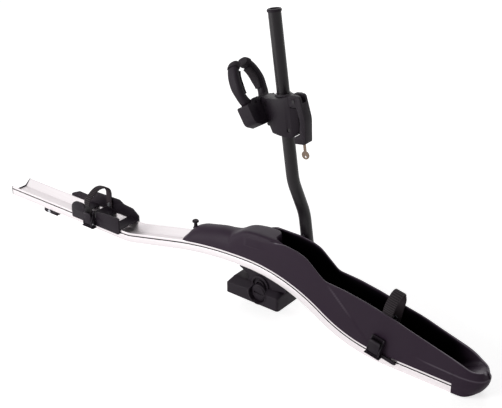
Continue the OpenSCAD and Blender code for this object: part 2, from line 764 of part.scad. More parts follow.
module wheel_cradle() {
    hook_z = rail_rear_top - groove_drop - hook_h / 2;
    gap_rear = rear_strap_x - buckle_w / 2 - 4;
    gap_front = rear_strap_x + buckle_w / 2 + 4;
    near_wall = outline([[cradle_near_x, cradle_low, 4], [cradle_near_x, cradle_top - 3, 24],
        [gap_rear - 2, cradle_top - 1, 14], [gap_rear, cradle_top - 30, 4], [gap_front, cradle_top - 30, 4],
        [gap_front + 2, cradle_top - 12, 4], [gap_front + 30, cradle_top - 7, 6], [cradle_front_x, cradle_top - 5, 4],
        [cradle_front_x, cradle_low, 6]]);
    far_wall = outline([[cradle_rear_x, cradle_low, 3], [cradle_rear_x, cradle_low + 18, 6],
        [cradle_rear_x + 30, cradle_top - 22, 8], [cradle_near_x + 8, cradle_top - 24, 4],
        [cradle_near_x + 18, cradle_top - 3, 10], [cradle_near_x + 110, cradle_top, 6],
        [cradle_near_x + 126, cradle_top - 9, 4], [cradle_front_x - 22, cradle_top - 12, 6],
        [cradle_front_x, cradle_top - 28, 5], [cradle_front_x, cradle_low, 5]]);
    bridges = [[cradle_near_x, 34], [rear_strap_x - 24, 48], [cradle_front_x - 36, 36]];
    color(black_plastic)
        difference() {
            union() {
                across(-cradle_out_y, -cradle_in_y)
                    polygon(near_wall);
                across(cradle_in_y, cradle_out_y)
                    polygon(far_wall);
                for (s = [-1, 1])
                    translate([cradle_near_x, s < 0 ? -cradle_in_y - over : cradle_in_y - groove_depth + 2 * seat_gap, hook_z])
                        cube([cradle_front_x - cradle_near_x, groove_depth - 2 * seat_gap + over, hook_h]);
                for (b = bridges)
                    translate([b[0], -cradle_in_y - over, rail_rear_top + seat_gap])
                        cube([b[1], 2 * (cradle_in_y + over), bridge_t]);
            }
            translate([rear_strap_x, 0, rear_rivet_z])
                y_rod(rivet_r, cradle_in_y - over, cradle_out_y + over);
        }
}

module rear_strap() {
    color(rubber)
        translate([rear_strap_x, 0, 0])
            difference() {
                lengthwise(-strap_w / 2, strap_w / 2)
                    polygon(strap_band(rear_strap_line, 46, line_len(rear_strap_line) - 26));
                translate([0, 0, rear_rivet_z])
                    y_rod(rivet_r, 0, cradle_out_y);
            }
}

module rear_strap_rivet() {
    color(steel)
        translate([rear_strap_x, 0, rear_rivet_z]) {
            y_rod(rivet_r - pin_fit, cradle_strap_y - strap_t / 2 - over, cradle_out_y + 2);
            y_rod(rivet_head_r, cradle_strap_y - strap_t / 2 - 2, cradle_strap_y - strap_t / 2);
            y_rod(rivet_head_r, cradle_out_y, cradle_out_y + 2);
        }
}

module rear_buckle() {
    color(black_plastic)
        at_rear_buckle()
            buckle_body();
}

module rear_buckle_pin() {
    color(steel)
        at_rear_buckle()
            buckle_pin();
}

module rear_buckle_lever() {
    color(black_plastic)
        at_rear_buckle()
            buckle_lever();
}

// Front foot: pad, base, saddle, bolts in the rail's slot, and a round lock cover
pad_inset = 4;
saddle_x = 12;
saddle_w = rail_w;
knob_x = 22;
knob_z = foot_base_h - 16;
spindle_r = 4;
spindle_l = 16;
foot_bolt_x = [crest_x - 22, crest_x + 22];
foot_bolt_r = 3;
t_head_l = 15;
t_head_t = 2.8;
insert_r = bar_bolt_r + 2.5;
insert_l = 22;
foot_bolt_low = foot_pad_t + insert_l + 2;

module foot_pad() {
    color(rubber)
        difference() {
            translate([-foot_l / 2 + pad_inset, -foot_w / 2 + pad_inset, 0])
                cube([foot_l - 2 * pad_inset, foot_w - 2 * pad_inset, foot_pad_t]);
            for (s = [-1, 1])
                translate([s * bar_bolt_pitch / 2, 0, -over])
                    cylinder(r = bar_bolt_r + run_gap, h = foot_pad_t + 2 * over);
        }
}

module foot_base() {
    side = outline([[-foot_l / 2, foot_pad_t, 2], [-foot_l / 2 + 7, foot_base_h - 6, 8], [-foot_l / 2 + 24, foot_base_h, 8],
        [foot_l / 2 - 14, foot_base_h, 8], [foot_l / 2 - 4, foot_base_h - 8, 6], [foot_l / 2, foot_pad_t, 2]]);
    color(black_plastic)
        difference() {
            union() {
                across(-foot_w / 2 + 3, foot_w / 2 - 3)
                    polygon(side);
                across(-foot_w / 2, foot_w / 2)
                    polygon(outline([[-foot_l / 2, foot_pad_t, 2], [-foot_l / 2 + 4, foot_base_h * 0.6, 8],
                        [-foot_l / 2 + 30, foot_base_h * 0.72, 12], [foot_l / 2 - 24, foot_base_h * 0.72, 12],
                        [foot_l / 2 - 3, foot_base_h * 0.6, 8], [foot_l / 2, foot_pad_t, 2]]));
                translate([knob_x, 0, knob_z])
                    y_rod(knob_r + 5, -foot_w / 2 - 2, 0);
                for (x = [-foot_l / 2 + 14 : 14 : foot_l / 2 - 10])
                    translate([x, 0, foot_pad_t])
                        y_rod(3, -foot_w / 2 - 1, foot_w / 2 + 1);
            }
            translate([-foot_l, -foot_w, -20])
                cube([2 * foot_l, 2 * foot_w, 20 + foot_pad_t]);
            translate([-foot_l, -foot_w, foot_base_h])
                cube([2 * foot_l, 2 * foot_w, foot_l]);
            translate([knob_x, 0, knob_z])
                y_rod(knob_r + run_gap, -foot_w, -foot_w / 2 + 5);
            translate([knob_x, 0, knob_z])
                y_rod(spindle_r, -foot_w, -foot_w / 2 + spindle_l + 2);
            for (x = foot_bolt_x)
                translate([x, 0, foot_bolt_low])
                    cylinder(r = foot_bolt_r, h = foot_base_h);
            for (s = [-1, 1])
                translate([s * bar_bolt_pitch / 2, 0, 0])
                    cylinder(r = insert_r, h = foot_pad_t + insert_l);
        }
}

module foot_saddle() {
    top = crest_z;
    color(black_plastic)
        difference() {
            across(-saddle_w / 2, saddle_w / 2)
                polygon(outline([[saddle_x - saddle_l / 2, foot_base_h, 2], [saddle_x - saddle_l / 2 - 16, top - rail_h - 6, 10],
                    [saddle_x - saddle_l / 2 - 16, top, 0], [saddle_x + saddle_l / 2 + 26, top, 0],
                    [saddle_x + saddle_l / 2 + 26, top - rail_h - 44, 6], [saddle_x + saddle_l / 2 - 6, foot_base_h, 10]]));
            above_rail(seat_gap);
            for (s = [-1, 1])
                for (x = [saddle_x - saddle_l / 2 + 6 : 22 : saddle_x + saddle_l / 2 - 20])
                    translate([x, s * (saddle_w / 2 + 4) - 8, foot_base_h + 6])
                        cube([14, 16, 14]);
            for (x = foot_bolt_x)
                translate([x, 0, foot_base_h - over])
                    cylinder(r = foot_bolt_r, h = rail_h + foot_base_h);
        }
}

module foot_bolts() {
    color(steel)
        for (x = foot_bolt_x) {
            slot_z = rail_top(x) - rail_h + slot_lip;
            translate([x, 0, foot_bolt_low])
                cylinder(r = foot_bolt_r - pin_fit, h = slot_z + 0.8 - foot_bolt_low);
            translate([x - t_head_l / 2, -slot_w / 2 + run_gap, slot_z + 0.8])
                cube([t_head_l, slot_w - 2 * run_gap, t_head_t]);
        }
}

module bar_inserts() {
    color(steel)
        for (s = [-1, 1])
            translate([s * bar_bolt_pitch / 2, 0, foot_pad_t])
                difference() {
                    cylinder(r = insert_r - pin_fit, h = insert_l);
                    translate([0, 0, -over])
                        cylinder(r = bar_bolt_r, h = insert_l - 2);
                }
}

module foot_knob() {
    color(black_plastic)
        translate([knob_x, 0, knob_z])
            difference() {
                union() {
                    y_rod(knob_r, -foot_w / 2 - knob_t + 2, -foot_w / 2 + 5 - run_gap);
                    y_rod(knob_r - 4, -foot_w / 2 - knob_t, -foot_w / 2);
                }
                translate([-knob_r + 8, -foot_w / 2 - knob_t - over, -2.5])
                    cube([2 * knob_r - 16, 4 + over, 5]);
                y_rod(spindle_r, -foot_w / 2 - 1, 0);
            }
}

module foot_knob_spindle() {
    color(steel)
        translate([knob_x, 0, knob_z])
            y_rod(spindle_r - pin_fit, -foot_w / 2 - 1, -foot_w / 2 + spindle_l);
}

// Rear foot: a low block that slides along the rail on a slot bolt
rear_block_top = rail_rear_top - rail_h;
rear_bolt_r = 3;
rear_nut_r = 6;
rear_clamp_z = rear_pad_t + (rear_block_top - rear_pad_t) / 2 + 1;

module rear_pad() {
    color(rubber)
        translate([rear_foot_x - rear_foot_l / 2 + 2, -rear_foot_w / 2 + 2, 0])
            cube([rear_foot_l - 4, rear_foot_w - 4, rear_pad_t]);
}

module rear_foot_block() {
    color(black_plastic)
        difference() {
            across(-rear_foot_w / 2, rear_foot_w / 2)
                polygon(outline([[rear_foot_x - rear_foot_l / 2, rear_pad_t, 2], [rear_foot_x - rear_foot_l / 2 + 2, rear_block_top, 2],
                    [rear_foot_x + rear_foot_l / 2 - 2, rear_block_top, 2], [rear_foot_x + rear_foot_l / 2, rear_pad_t, 2]]));
            translate([rear_foot_x, 0, rear_pad_t + 1])
                cylinder(r = rear_bolt_r, h = rail_h);
            translate([rear_foot_x, 0, rear_clamp_z])
                y_rod(rear_bolt_r, -rear_foot_w, 0 - rear_bolt_r - 6);
        }
}

module rear_foot_bolt() {
    color(steel) {
        translate([rear_foot_x, 0, rear_pad_t + 1])
            cylinder(r = rear_bolt_r - pin_fit, h = rear_block_top + slot_lip + run_gap - rear_pad_t - 1);
        translate([rear_foot_x - t_head_l / 2, -slot_w / 2 + run_gap, rear_block_top + slot_lip + run_gap])
            cube([t_head_l, slot_w - 2 * run_gap, t_head_t]);
    }
}

module rear_foot_nut() {
    color(steel)
        translate([rear_foot_x, 0, rear_clamp_z]) {
            y_rod(rear_bolt_r - pin_fit, -rear_foot_w / 2 - over, -rear_bolt_r - 8);
            translate([0, -rear_foot_w / 2, 0])
                rotate([90, 0, 0])
                    cylinder(r = rear_nut_r - 1, h = 5, $fn = 6);
        }
}

// Arm pivot: a clevis bracket on the far side of the rail
eye_r = 16;
eye_half = 10;
washer_t = 1;
ear_t = 4;
ear_in_y = arm_pivot_y - eye_half - washer_t - ear_t;
ear_out_y = arm_pivot_y + eye_half + washer_t + ear_t;
bracket_half_l = 20;
pad_half_l = 36;
pad_half_h = 9;
pad_out_y = ear_in_y + ear_t + 1;
bracket_slope = asin((arm_pivot_x - crest_x) / fall_r);
pad_z = rail_top(arm_pivot_x) - 16;
bracket_bolt_r = 3;
bracket_bolt_at = [for (s = [-1, 1]) [arm_pivot_x + s * 26 * cos(bracket_slope), pad_z - s * 26 * sin(bracket_slope)]];
web_top = arm_pivot_z - eye_r - 6;

module at_pivot() {
    translate([arm_pivot_x, 0, arm_pivot_z])
        children();
}

module arm_bracket() {
    color(black_tube)
        difference() {
            union() {
                translate([arm_pivot_x, 0, pad_z])
                    rotate([0, bracket_slope, 0])
                        translate([-pad_half_l, rail_half, -pad_half_h])
                            cube([2 * pad_half_l, pad_out_y - rail_half, 2 * pad_half_h]);
                for (y = [ear_in_y, ear_out_y - ear_t])
                    across(y, y + ear_t)
                        polygon(outline([[arm_pivot_x - bracket_half_l, pad_z - 4, 3],
                            [arm_pivot_x - eye_r - 1, arm_pivot_z + eye_r, 14],
                            [arm_pivot_x + eye_r + 1, arm_pivot_z + eye_r, 14],
                            [arm_pivot_x + bracket_half_l, pad_z - 8, 3]]));
                translate([arm_pivot_x - bracket_half_l + 2, ear_in_y, pad_z - 4])
                    cube([2 * bracket_half_l - 4, ear_out_y - ear_in_y, web_top - pad_z + 4]);
            }
            at_pivot()
                y_rod(pivot_r, ear_in_y - over, ear_out_y + over);
            for (p = bracket_bolt_at)
                translate([p[0], 0, p[1]])
                    y_rod(bracket_bolt_r, rail_half - over, ear_out_y);
        }
}

module bracket_bolts() {
    color(steel)
        for (p = bracket_bolt_at)
            translate([p[0], 0, p[1]]) {
                y_rod(bracket_bolt_r - pin_fit, rail_half - rail_wall - 1, pad_out_y + over);
                y_rod(bracket_bolt_r + 2, pad_out_y, pad_out_y + 4);
            }
}

module pivot_bolt() {
    color(steel)
        at_pivot() {
            y_rod(pivot_r - pin_fit, ear_in_y, ear_out_y + over);
            y_rod(pivot_r + 4, ear_out_y, ear_out_y + 5);
        }
}

module pivot_washers() {
    color(steel)
        at_pivot()
            for (y = [arm_pivot_y - eye_half - washer_t, arm_pivot_y + eye_half])
                difference() {
                    y_rod(pivot_r + 6, y, y + washer_t);
                    y_rod(pivot_r, y - over, y + washer_t + over);
                }
}

// Arm frame: Z runs up the arm from its pivot
arm_bend_run = (arm_offset - 2 * arm_bend_r * (1 - cos(arm_bend))) / sin(arm_bend);
arm_upper_s = arm_bend_s + 2 * arm_bend_r * sin(arm_bend) + arm_bend_run * cos(arm_bend);
tube_start_s = eye_r + 5;
plug_l = 46;
bend_thin = 0.04;
bend_lap = 0.3;
rivet_s = 46;
cap_rim_r = tube_r + 1.8;

module on_arm() {
    translate([arm_pivot_x, arm_pivot_y, arm_pivot_z])
        rotate([0, -arm_lean, 0])
            children();
}

// One bend of the arm in the Y and Z plane, from straight up toward -Y
module tube_bend(outer, inner) {
    translate([0, -arm_bend_r, 0])
        rotate([90, 0, 90])
            rotate_extrude(angle = arm_bend, $fn = 180)
                translate([arm_bend_r, 0])
                    difference() {
                        circle(r = outer);
                        if (inner > 0)
                            circle(r = inner);
                    }
}

module tube_run(l, outer, inner) {
    difference() {
        cylinder(r = outer, h = l);
        translate([0, 0, -over])
            cylinder(r = inner, h = l + 2 * over);
    }
}

module arm_tube() {
    inner = tube_r - tube_wall;
    low_y = -arm_bend_r * (1 - cos(arm_bend));
    color(black_tube)
        on_arm()
            difference() {
                union() {
                    translate([0, 0, tube_start_s])
                        tube_run(arm_bend_s - tube_start_s + bend_lap, tube_r, inner);
                    translate([0, 0, arm_bend_s])
                        tube_bend(tube_r - bend_thin, inner + bend_thin);
                    translate([0, low_y, arm_bend_s + arm_bend_r * sin(arm_bend)])
                        rotate([arm_bend, 0, 0])
                            translate([0, 0, -bend_lap])
                                tube_run(arm_bend_run + 2 * bend_lap, tube_r, inner);
                    translate([0, -arm_offset, arm_upper_s])
                        rotate([180, 0, 0])
                            tube_bend(tube_r - bend_thin, inner + bend_thin);
                    translate([0, -arm_offset, arm_upper_s - bend_lap])
                        tube_run(arm_l - arm_upper_s + bend_lap, tube_r, inner);
                }
                translate([0, 0, rivet_s])
                    y_rod(rivet_r, -2 * tube_r, 2 * tube_r);
            }
}

module arm_knuckle() {
    color(steel)
        on_arm()
            difference() {
                union() {
                    y_rod(eye_r, -eye_half, eye_half);
                    translate([0, 0, tube_start_s - over])
                        cylinder(r = tube_r - tube_wall - pin_fit, h = plug_l - tube_start_s + eye_r + over);
                    intersection() {
                        translate([0, 0, 4])
                            cylinder(r = tube_r, h = tube_start_s - 4);
                        translate([-tube_r, -eye_half, 0])
                            cube([2 * tube_r, 2 * eye_half, tube_start_s]);
                    }
                }
                y_rod(pivot_r + pin_fit, -2 * eye_half, 2 * eye_half);
                translate([0, 0, rivet_s])
                    y_rod(rivet_r, -2 * tube_r, 2 * tube_r);
            }
}

module tube_rivet() {
    color(steel)
        on_arm()
            translate([0, 0, rivet_s])
                y_rod(rivet_r - pin_fit, -tube_r, tube_r);
}

module arm_end_cap() {
    color(black_plastic)
        on_arm()
            translate([0, -arm_offset, arm_l])
                rotate_extrude()
                    polygon([[0, -18], [tube_r - tube_wall - pin_fit, -18], [tube_r - tube_wall - pin_fit, 0], [cap_rim_r, 0],
                        [cap_rim_r, 4], [cap_rim_r - 2, 6], [cap_rim_r - 5, 6], [cap_rim_r - 7, 3], [0, 3]]);
}

// Head frame: origin on the tube's axis at the middle of the head
bush_t = 3;
bush_h = 11;
bush_flange = 2;
bush_out_r = tube_r + 2 * pin_fit + bush_t;
bush_top = 50;
bush_low = -38;
head_mid_y = -arm_pivot_y + arm_offset;
cheek_t = 5.5;
pocket_half_w = claw_w / 2 + run_gap;
socket_half_w = pocket_half_w + cheek_t;
socket_half_l = claw_half_pitch + 29;
socket_wall = 5;
socket_low = -rod_drop - 19;
cheek_r = 12;
lever_half = 14;
lever_gap = 3;
tongue_half = 6;
screw_r = 2.5;
head_screw_at = [[-28, 34], [-26, -12], [30, -22]];

// Lever pin in the head frame, on the line of the draw rod
lever_x = -claw_back + lever_reach * cos(claw_tilt) + rod_drop * sin(claw_tilt);
lever_z = claw_up + lever_reach * sin(claw_tilt) - rod_drop * cos(claw_tilt);

module on_head() {
    on_arm()
        translate([0, -arm_offset, head_s])
            children();
}

// Claw frame: X along the clamped frame tube, Y across, Z toward the claw tips
module on_claws() {
    on_head()
        in_claws()
            children();
}

module in_claws() {
    translate([-claw_back, head_mid_y, claw_up])
        rotate([0, -claw_tilt, 0])
            children();
}

module socket_block() {
    difference() {
        union() {
            lengthwise(-socket_half_w, socket_half_w)
                polygon(outline([[-socket_half_l, 4, 5], [-socket_half_l, socket_low + 12, 14], [-socket_half_l + 22, socket_low, 10],
                    [socket_half_l - 22, socket_low, 10], [socket_half_l, socket_low + 12, 14], [socket_half_l, 4, 5]]));
            for (s = [-1, 1])
                translate([0, s * claw_half_pitch, 0])
                    x_rod(cheek_r, -socket_half_w, socket_half_w);
            lengthwise(-socket_half_w, socket_half_w)
                translate([-claw_half_pitch, 0])
                    square([2 * claw_half_pitch, cheek_r - 2]);
            for (z = [socket_low + 16 : 5 : 0])
                translate([-socket_half_w - 1.2, -socket_half_l + 8, z])
                    cube([2, 2 * socket_half_l - 16, 2.5]);
        }
        lengthwise(-pocket_half_w, pocket_half_w)
            polygon(outline([[-socket_half_l + socket_wall, 60, 0], [-socket_half_l + socket_wall, -14, 8],
                [-claw_half_pitch - 12, -20, 6], [-claw_half_pitch - 8, socket_low + 5, 6],
                [claw_half_pitch + 8, socket_low + 5, 6], [claw_half_pitch + 12, -20, 6],
                [socket_half_l - socket_wall, -14, 8], [socket_half_l - socket_wall, 60, 0]]));
        for (s = [-1, 1])
            translate([0, s * claw_half_pitch, 0])
                x_rod(claw_pin_r, -socket_half_w - 5, socket_half_w + 5);
    }
}

module head_body() {
    side = outline([[-48, -24, 8], [-29, -28, 10], [5, -36, 20], [36, -41, 16], [54, -26, 16],
        [lever_x - 1, lever_z - lever_half - lever_gap - 4, 3], [lever_x - lever_half - lever_gap, lever_z - lever_half - lever_gap - 1, 2],
        [lever_x - lever_half - lever_gap, lever_z + 8, 4], [10, bush_top - 1, 8], [-22, bush_top - 2, 8], [-44, bush_top + 2, 8]]);
    near_y = -head_near;
    color(black_plastic)
        on_head()
            difference() {
                union() {
                    difference() {
                        intersection() {
                            across(near_y, 0)
                                polygon(side);
                            translate([0, near_y + 130, -150])
                                cylinder(r = 130, h = 300, $fn = 180);
                        }
                        in_claws()
                            translate([-60, -100, -100])
                                cube([60 + socket_half_w - over, 200, 200]);
                    }
                    in_claws()
                        socket_block();
                    translate([lever_x, head_mid_y, lever_z])
                        y_rod(lever_pin_r + 5, -tongue_half, tongue_half);
                    translate([0, head_mid_y, 0])
                        across(-tongue_half, tongue_half)
                            polygon([[lever_x - lever_half - 8, lever_z - 9], [lever_x, lever_z - 9],
                                [lever_x, lever_z + 9], [lever_x - lever_half - 8, lever_z + 4]]);
                }
                translate([0, 0, -100])
                    cylinder(r = tube_r + seat_gap, h = 200);
                translate([0, 0, bush_top - bush_h])
                    cylinder(r = bush_out_r, h = 40);
                translate([0, 0, bush_top])
                    cylinder(r = bush_out_r + bush_flange + seat_gap, h = 40);
                translate([0, 0, bush_low - 40 + bush_h])
                    cylinder(r = bush_out_r, h = 40);
                in_claws()
                    translate([0, 0, -rod_drop])
                        x_rod(rod_r + seat_gap, 0, lever_reach - lever_pin_r - 1.5);
                translate([lever_x, head_mid_y, lever_z])
                    y_rod(lever_pin_r, -lever_w, lever_w);
                for (p = head_screw_at)
                    translate([p[0], 0, p[1]]) {
                        y_rod(screw_r, near_y - 5, 5);
                        y_rod(screw_r + 2.5, near_y - 5, near_y + 8);
                    }
            }
}

module head_cover() {
    side = outline([[-34, -26, 6], [5, -36, 16], [34, -38, 14], [44, -20, 14], [38, 40, 10], [10, bush_top - 1, 8], [-26, bush_top - 4, 8],
        [-34, 24, 6]]);
    color(black_plastic)
        on_head()
            difference() {
                intersection() {
                    across(0, head_far)
                        polygon(side);
                    translate([0, head_far - 60, -150])
                        cylinder(r = 60, h = 300, $fn = 180);
                }
                in_claws()
                    translate([-60, -100, -100])
                        cube([60 + socket_half_w + seat_gap, 200, 200]);
                translate([0, 0, -100])
                    cylinder(r = tube_r + seat_gap, h = 200);
                translate([0, 0, bush_top - bush_h])
                    cylinder(r = bush_out_r, h = 40);
                translate([0, 0, bush_low - 40 + bush_h])
                    cylinder(r = bush_out_r, h = 40);
                for (p = head_screw_at)
                    translate([p[0], 0, p[1]])
                        y_rod(screw_r, -5, 8);
            }
}

module head_screws() {
    color(steel)
        on_head()
            for (p = head_screw_at)
                translate([p[0], 0, p[1]]) {
                    y_rod(screw_r - pin_fit, -head_near + 7, 7);
                    y_rod(screw_r + 2, -head_near + 4.5, -head_near + 8);
                }
}

module bush(low) {
    translate([0, 0, low])
        difference() {
            cylinder(r = bush_out_r - pin_fit, h = bush_h);
            translate([0, 0, -over])
                cylinder(r = tube_r + 2 * pin_fit, h = bush_h + 2 * over);
        }
}

module upper_bush() {
    color(black_plastic)
        on_head() {
            bush(bush_top - bush_h);
            difference() {
                translate([0, 0, bush_top])
                    cylinder(r1 = bush_out_r + bush_flange, r2 = bush_out_r, h = 3);
                translate([0, 0, bush_top - over])
                    cylinder(r = tube_r + 2 * pin_fit, h = 6);
            }
        }
}

module lower_bush() {
    color(black_plastic)
        on_head()
            bush(bush_low);
}

module claw_pins() {
    color(steel)
        on_claws()
            for (s = [-1, 1])
                translate([0, s * claw_half_pitch, 0])
                    x_rod(claw_pin_r - pin_fit, -socket_half_w + over, socket_half_w - over);
}

// Claw line: a cubic curve from the pivot out and up to the tip, in the claw frame's Y and Z
claw_eye_r = 9;
claw_root_t = 24;
claw_tip_t = 15;
claw_points = [[claw_half_pitch, -2], [claw_half_pitch + 27, 8], [claw_half_pitch + 25, claw_h - 17], [13, claw_h]];
claw_end = 0.88;
claw_pad_t = 4;

function bezier(p, t) = p[0] * pow(1 - t, 3) + p[1] * 3 * t * pow(1 - t, 2) + p[2] * 3 * t * t * (1 - t) + p[3] * pow(t, 3);
function bezier_dir(p, t) =
    let (d = (p[1] - p[0]) * pow(1 - t, 2) + (p[2] - p[1]) * 2 * t * (1 - t) + (p[3] - p[2]) * t * t)
    d / norm(d);
function claw_t(t) = claw_root_t + (claw_tip_t - claw_root_t) * t;

// Ring of a claw piece: shifted off the claw line by off, with its own thickness, width and roundness
function claw_ring(t, off, thick, wide, round, n = 20) =
    let (p = bezier(claw_points, t), out = -left_of(bezier_dir(claw_points, t)))
    [for (i = [0 : n - 1])
        let (
            a = 360 * i / n,
            q = p + out * (off + thick / 2 * spow(cos(a), 2 / round))
        )
        [wide / 2 * spow(sin(a), 2 / round), q[0], q[1]]];

tail_x = 1;
tail_w = 8;
wedge_angle = 40;
wedge_half = 17;
tail_t = 7;
wedge_h = 14;

module claw() {
    difference() {
        union() {
            loft([for (i = [0 : 16]) let (t = claw_end * i / 16) claw_ring(t, 0, claw_t(t), claw_w, 2.8)]);
            translate([0, claw_half_pitch, 0])
                x_rod(claw_eye_r, -claw_w / 2, claw_w / 2);
            translate([tail_x, 0, 0])
                claw_tail();
        }
        translate([0, claw_half_pitch, 0])
            x_rod(claw_pin_r + pin_fit, -claw_w, claw_w);
    }
}

// Tail below the pivot, with a slanted inner face for the wedge
module claw_tail() {
    fall = tail_w * tan(wedge_angle);
    rotate([180, 0, 0])
        mirror([0, 1, 0])
            linear_extrude(rod_drop + wedge_h / 2)
                polygon([[0, wedge_half + seat_gap], [tail_w, wedge_half + seat_gap - fall],
                    [tail_w, wedge_half + tail_t + 2], [0, wedge_half + tail_t + 2]]);
}

module claw_pad() {
    loft([for (i = [0 : 10])
        let (t = 0.34 + 0.5 * i / 10)
        claw_ring(t, -claw_t(t) / 2 - seat_gap - claw_pad_t / 2, claw_pad_t, claw_w - 4, 5)]);
}

module claw_tip() {
    loft([for (i = [0 : 6])
        let (t = claw_end + 0.006 + 0.13 * i / 6, swell = 5 * sqrt(1 - pow(i / 7, 2)))
        claw_ring(t, 0, claw_t(t) - 1 + swell, claw_w - 1 + swell, 2.6)]);
}

module near_claw() {
    color(black_plastic)
        on_claws()
            mirror([0, 1, 0])
                claw();
}

module far_claw() {
    color(black_plastic)
        on_claws()
            claw();
}

module near_claw_pad() {
    color(rubber)
        on_claws()
            mirror([0, 1, 0])
                claw_pad();
}

module far_claw_pad() {
    color(rubber)
        on_claws()
            claw_pad();
}

module near_claw_tip() {
    color(rubber)
        on_claws()
            mirror([0, 1, 0])
                claw_tip();
}

module far_claw_tip() {
    color(rubber)
        on_claws()
            claw_tip();
}

// Wedge between the claw tails, and the rod that the lever draws it with
module wedge() {
    k = tan(wedge_angle);
    rear = -4;
    front = tail_x + tail_w + 2;
    color(steel)
        on_claws()
            translate([0, 0, -rod_drop - wedge_h / 2])
                difference() {
                    linear_extrude(wedge_h)
                        polygon([[rear, -wedge_half - (tail_x - rear) * k], [front, -wedge_half + (front - tail_x) * k],
                            [front, wedge_half - (front - tail_x) * k], [rear, wedge_half + (tail_x - rear) * k]]);
                    translate([0, 0, wedge_h / 2])
                        x_rod(rod_r - 1, rear - over, front + over);
                }
}

module draw_rod() {
    front = tail_x + tail_w + 2;
    color(steel)
        on_claws()
            translate([0, 0, -rod_drop]) {
                x_rod(rod_r - 1 - pin_fit, -4, front + over);
                x_rod(rod_r, front, lever_reach - lever_pin_r - 2);
            }
}

// Lever: a forked hub on the pin, a bowed arm down the front of the head, and a lock toe
toe_low = -50;
toe_top = -34;
lock_x = 63;

module clamp_lever() {
    bow = outline([[lever_x + 2, lever_z + lever_half, 8], [lever_x + lever_half + 3, lever_z + lever_half - 2, 8],
        [81, 6, 60], [75, toe_low, 3], [47, toe_low, 3], [47, toe_top, 3], [62, toe_top + 2, 6], [68, 4, 50],
        [lever_x + 6, lever_z - lever_half, 4]]);
    color(black_plastic)
        on_head()
            translate([0, head_mid_y, 0])
                difference() {
                    union() {
                        across(-lever_w / 2, lever_w / 2)
                            polygon(bow);
                        across(-lever_w / 2, lever_w / 2)
                            polygon(outline([[lever_x - lever_half, lever_z - lever_half, 9], [lever_x + lever_half, lever_z - lever_half, 9],
                                [lever_x + lever_half, lever_z + lever_half, 9], [lever_x - lever_half, lever_z + lever_half, 9]]));
                    }
                    translate([lever_x, 0, lever_z])
                        y_rod(lever_half + 6, -tongue_half - run_gap, tongue_half + run_gap);
                    translate([lever_x, 0, lever_z])
                        y_rod(lever_pin_r + pin_fit, -lever_w, lever_w);
                    translate([lock_x, 0, toe_low - over])
                        cylinder(r = lock_r, h = toe_top - toe_low - 2);
                }
}

module lever_pin() {
    color(steel)
        on_head()
            translate([lever_x, head_mid_y, lever_z])
                y_rod(lever_pin_r - pin_fit, -lever_w / 2 - 0.8, lever_w / 2 + 0.8);
}

key_t = 2;
key_w = 7;
key_l = 38;
module lock_barrel() {
    color(steel)
        on_head()
            translate([lock_x, head_mid_y, toe_low - 1.5])
                difference() {
                    cylinder(r = lock_r - pin_fit, h = toe_top - toe_low - 3);
                    translate([-key_w / 2, -key_t / 2, -over])
                        cube([key_w, key_t, 11]);
                }
}

// Key: a blade in the barrel and a rounded bow below it
module lock_key() {
    bow_r = 10;
    slim = key_t - 2 * pin_fit;
    color(steel)
        on_head()
            translate([lock_x, head_mid_y, toe_low - 1.5])
                across(-slim / 2, slim / 2)
                    difference() {
                        union() {
                            translate([-key_w / 2 + pin_fit, -key_l + bow_r])
                                square([key_w - 2 * pin_fit, key_l - bow_r + 9]);
                            translate([0, -key_l + bow_r])
                                circle(r = bow_r);
                        }
                        translate([0, -key_l + 6])
                            circle(r = 2.5);
                    }
}

rail();
rail_end_cap();
tray_shell();
tray_screws();
rest_peg();
front_strap();
front_strap_rivet();
front_buckle();
front_buckle_pin();
front_buckle_lever();
wheel_cradle();
rear_strap();
rear_strap_rivet();
rear_buckle();
rear_buckle_pin();
rear_buckle_lever();
foot_pad();
foot_base();
foot_saddle();
foot_bolts();
bar_inserts();
foot_knob();
foot_knob_spindle();
rear_pad();
rear_foot_block();
rear_foot_bolt();
rear_foot_nut();
arm_bracket();
bracket_bolts();
pivot_bolt();
pivot_washers();
arm_knuckle();
tube_rivet();
arm_tube();
arm_end_cap();
head_body();
head_cover();
head_screws();
upper_bush();
lower_bush();
claw_pins();
near_claw();
far_claw();
near_claw_pad();
far_claw_pad();
near_claw_tip();
far_claw_tip();
draw_rod();
wedge();
clamp_lever();
lever_pin();
lock_barrel();
lock_key();
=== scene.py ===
# %% [markdown]
# # A roof mounted bike carrier
# A bent aluminium rail stands on two feet that sit on a car's roof bars. A moulded tray takes the front
# wheel, an upright arm clamps the bicycle's frame, and a sliding cradle straps the rear wheel. The solids of
# every piece arrive in one shared frame. This lesson gives them their finish, and builds finer surfaces for
# the pieces whose curves show most.

# %% Load the solids
import json
import math

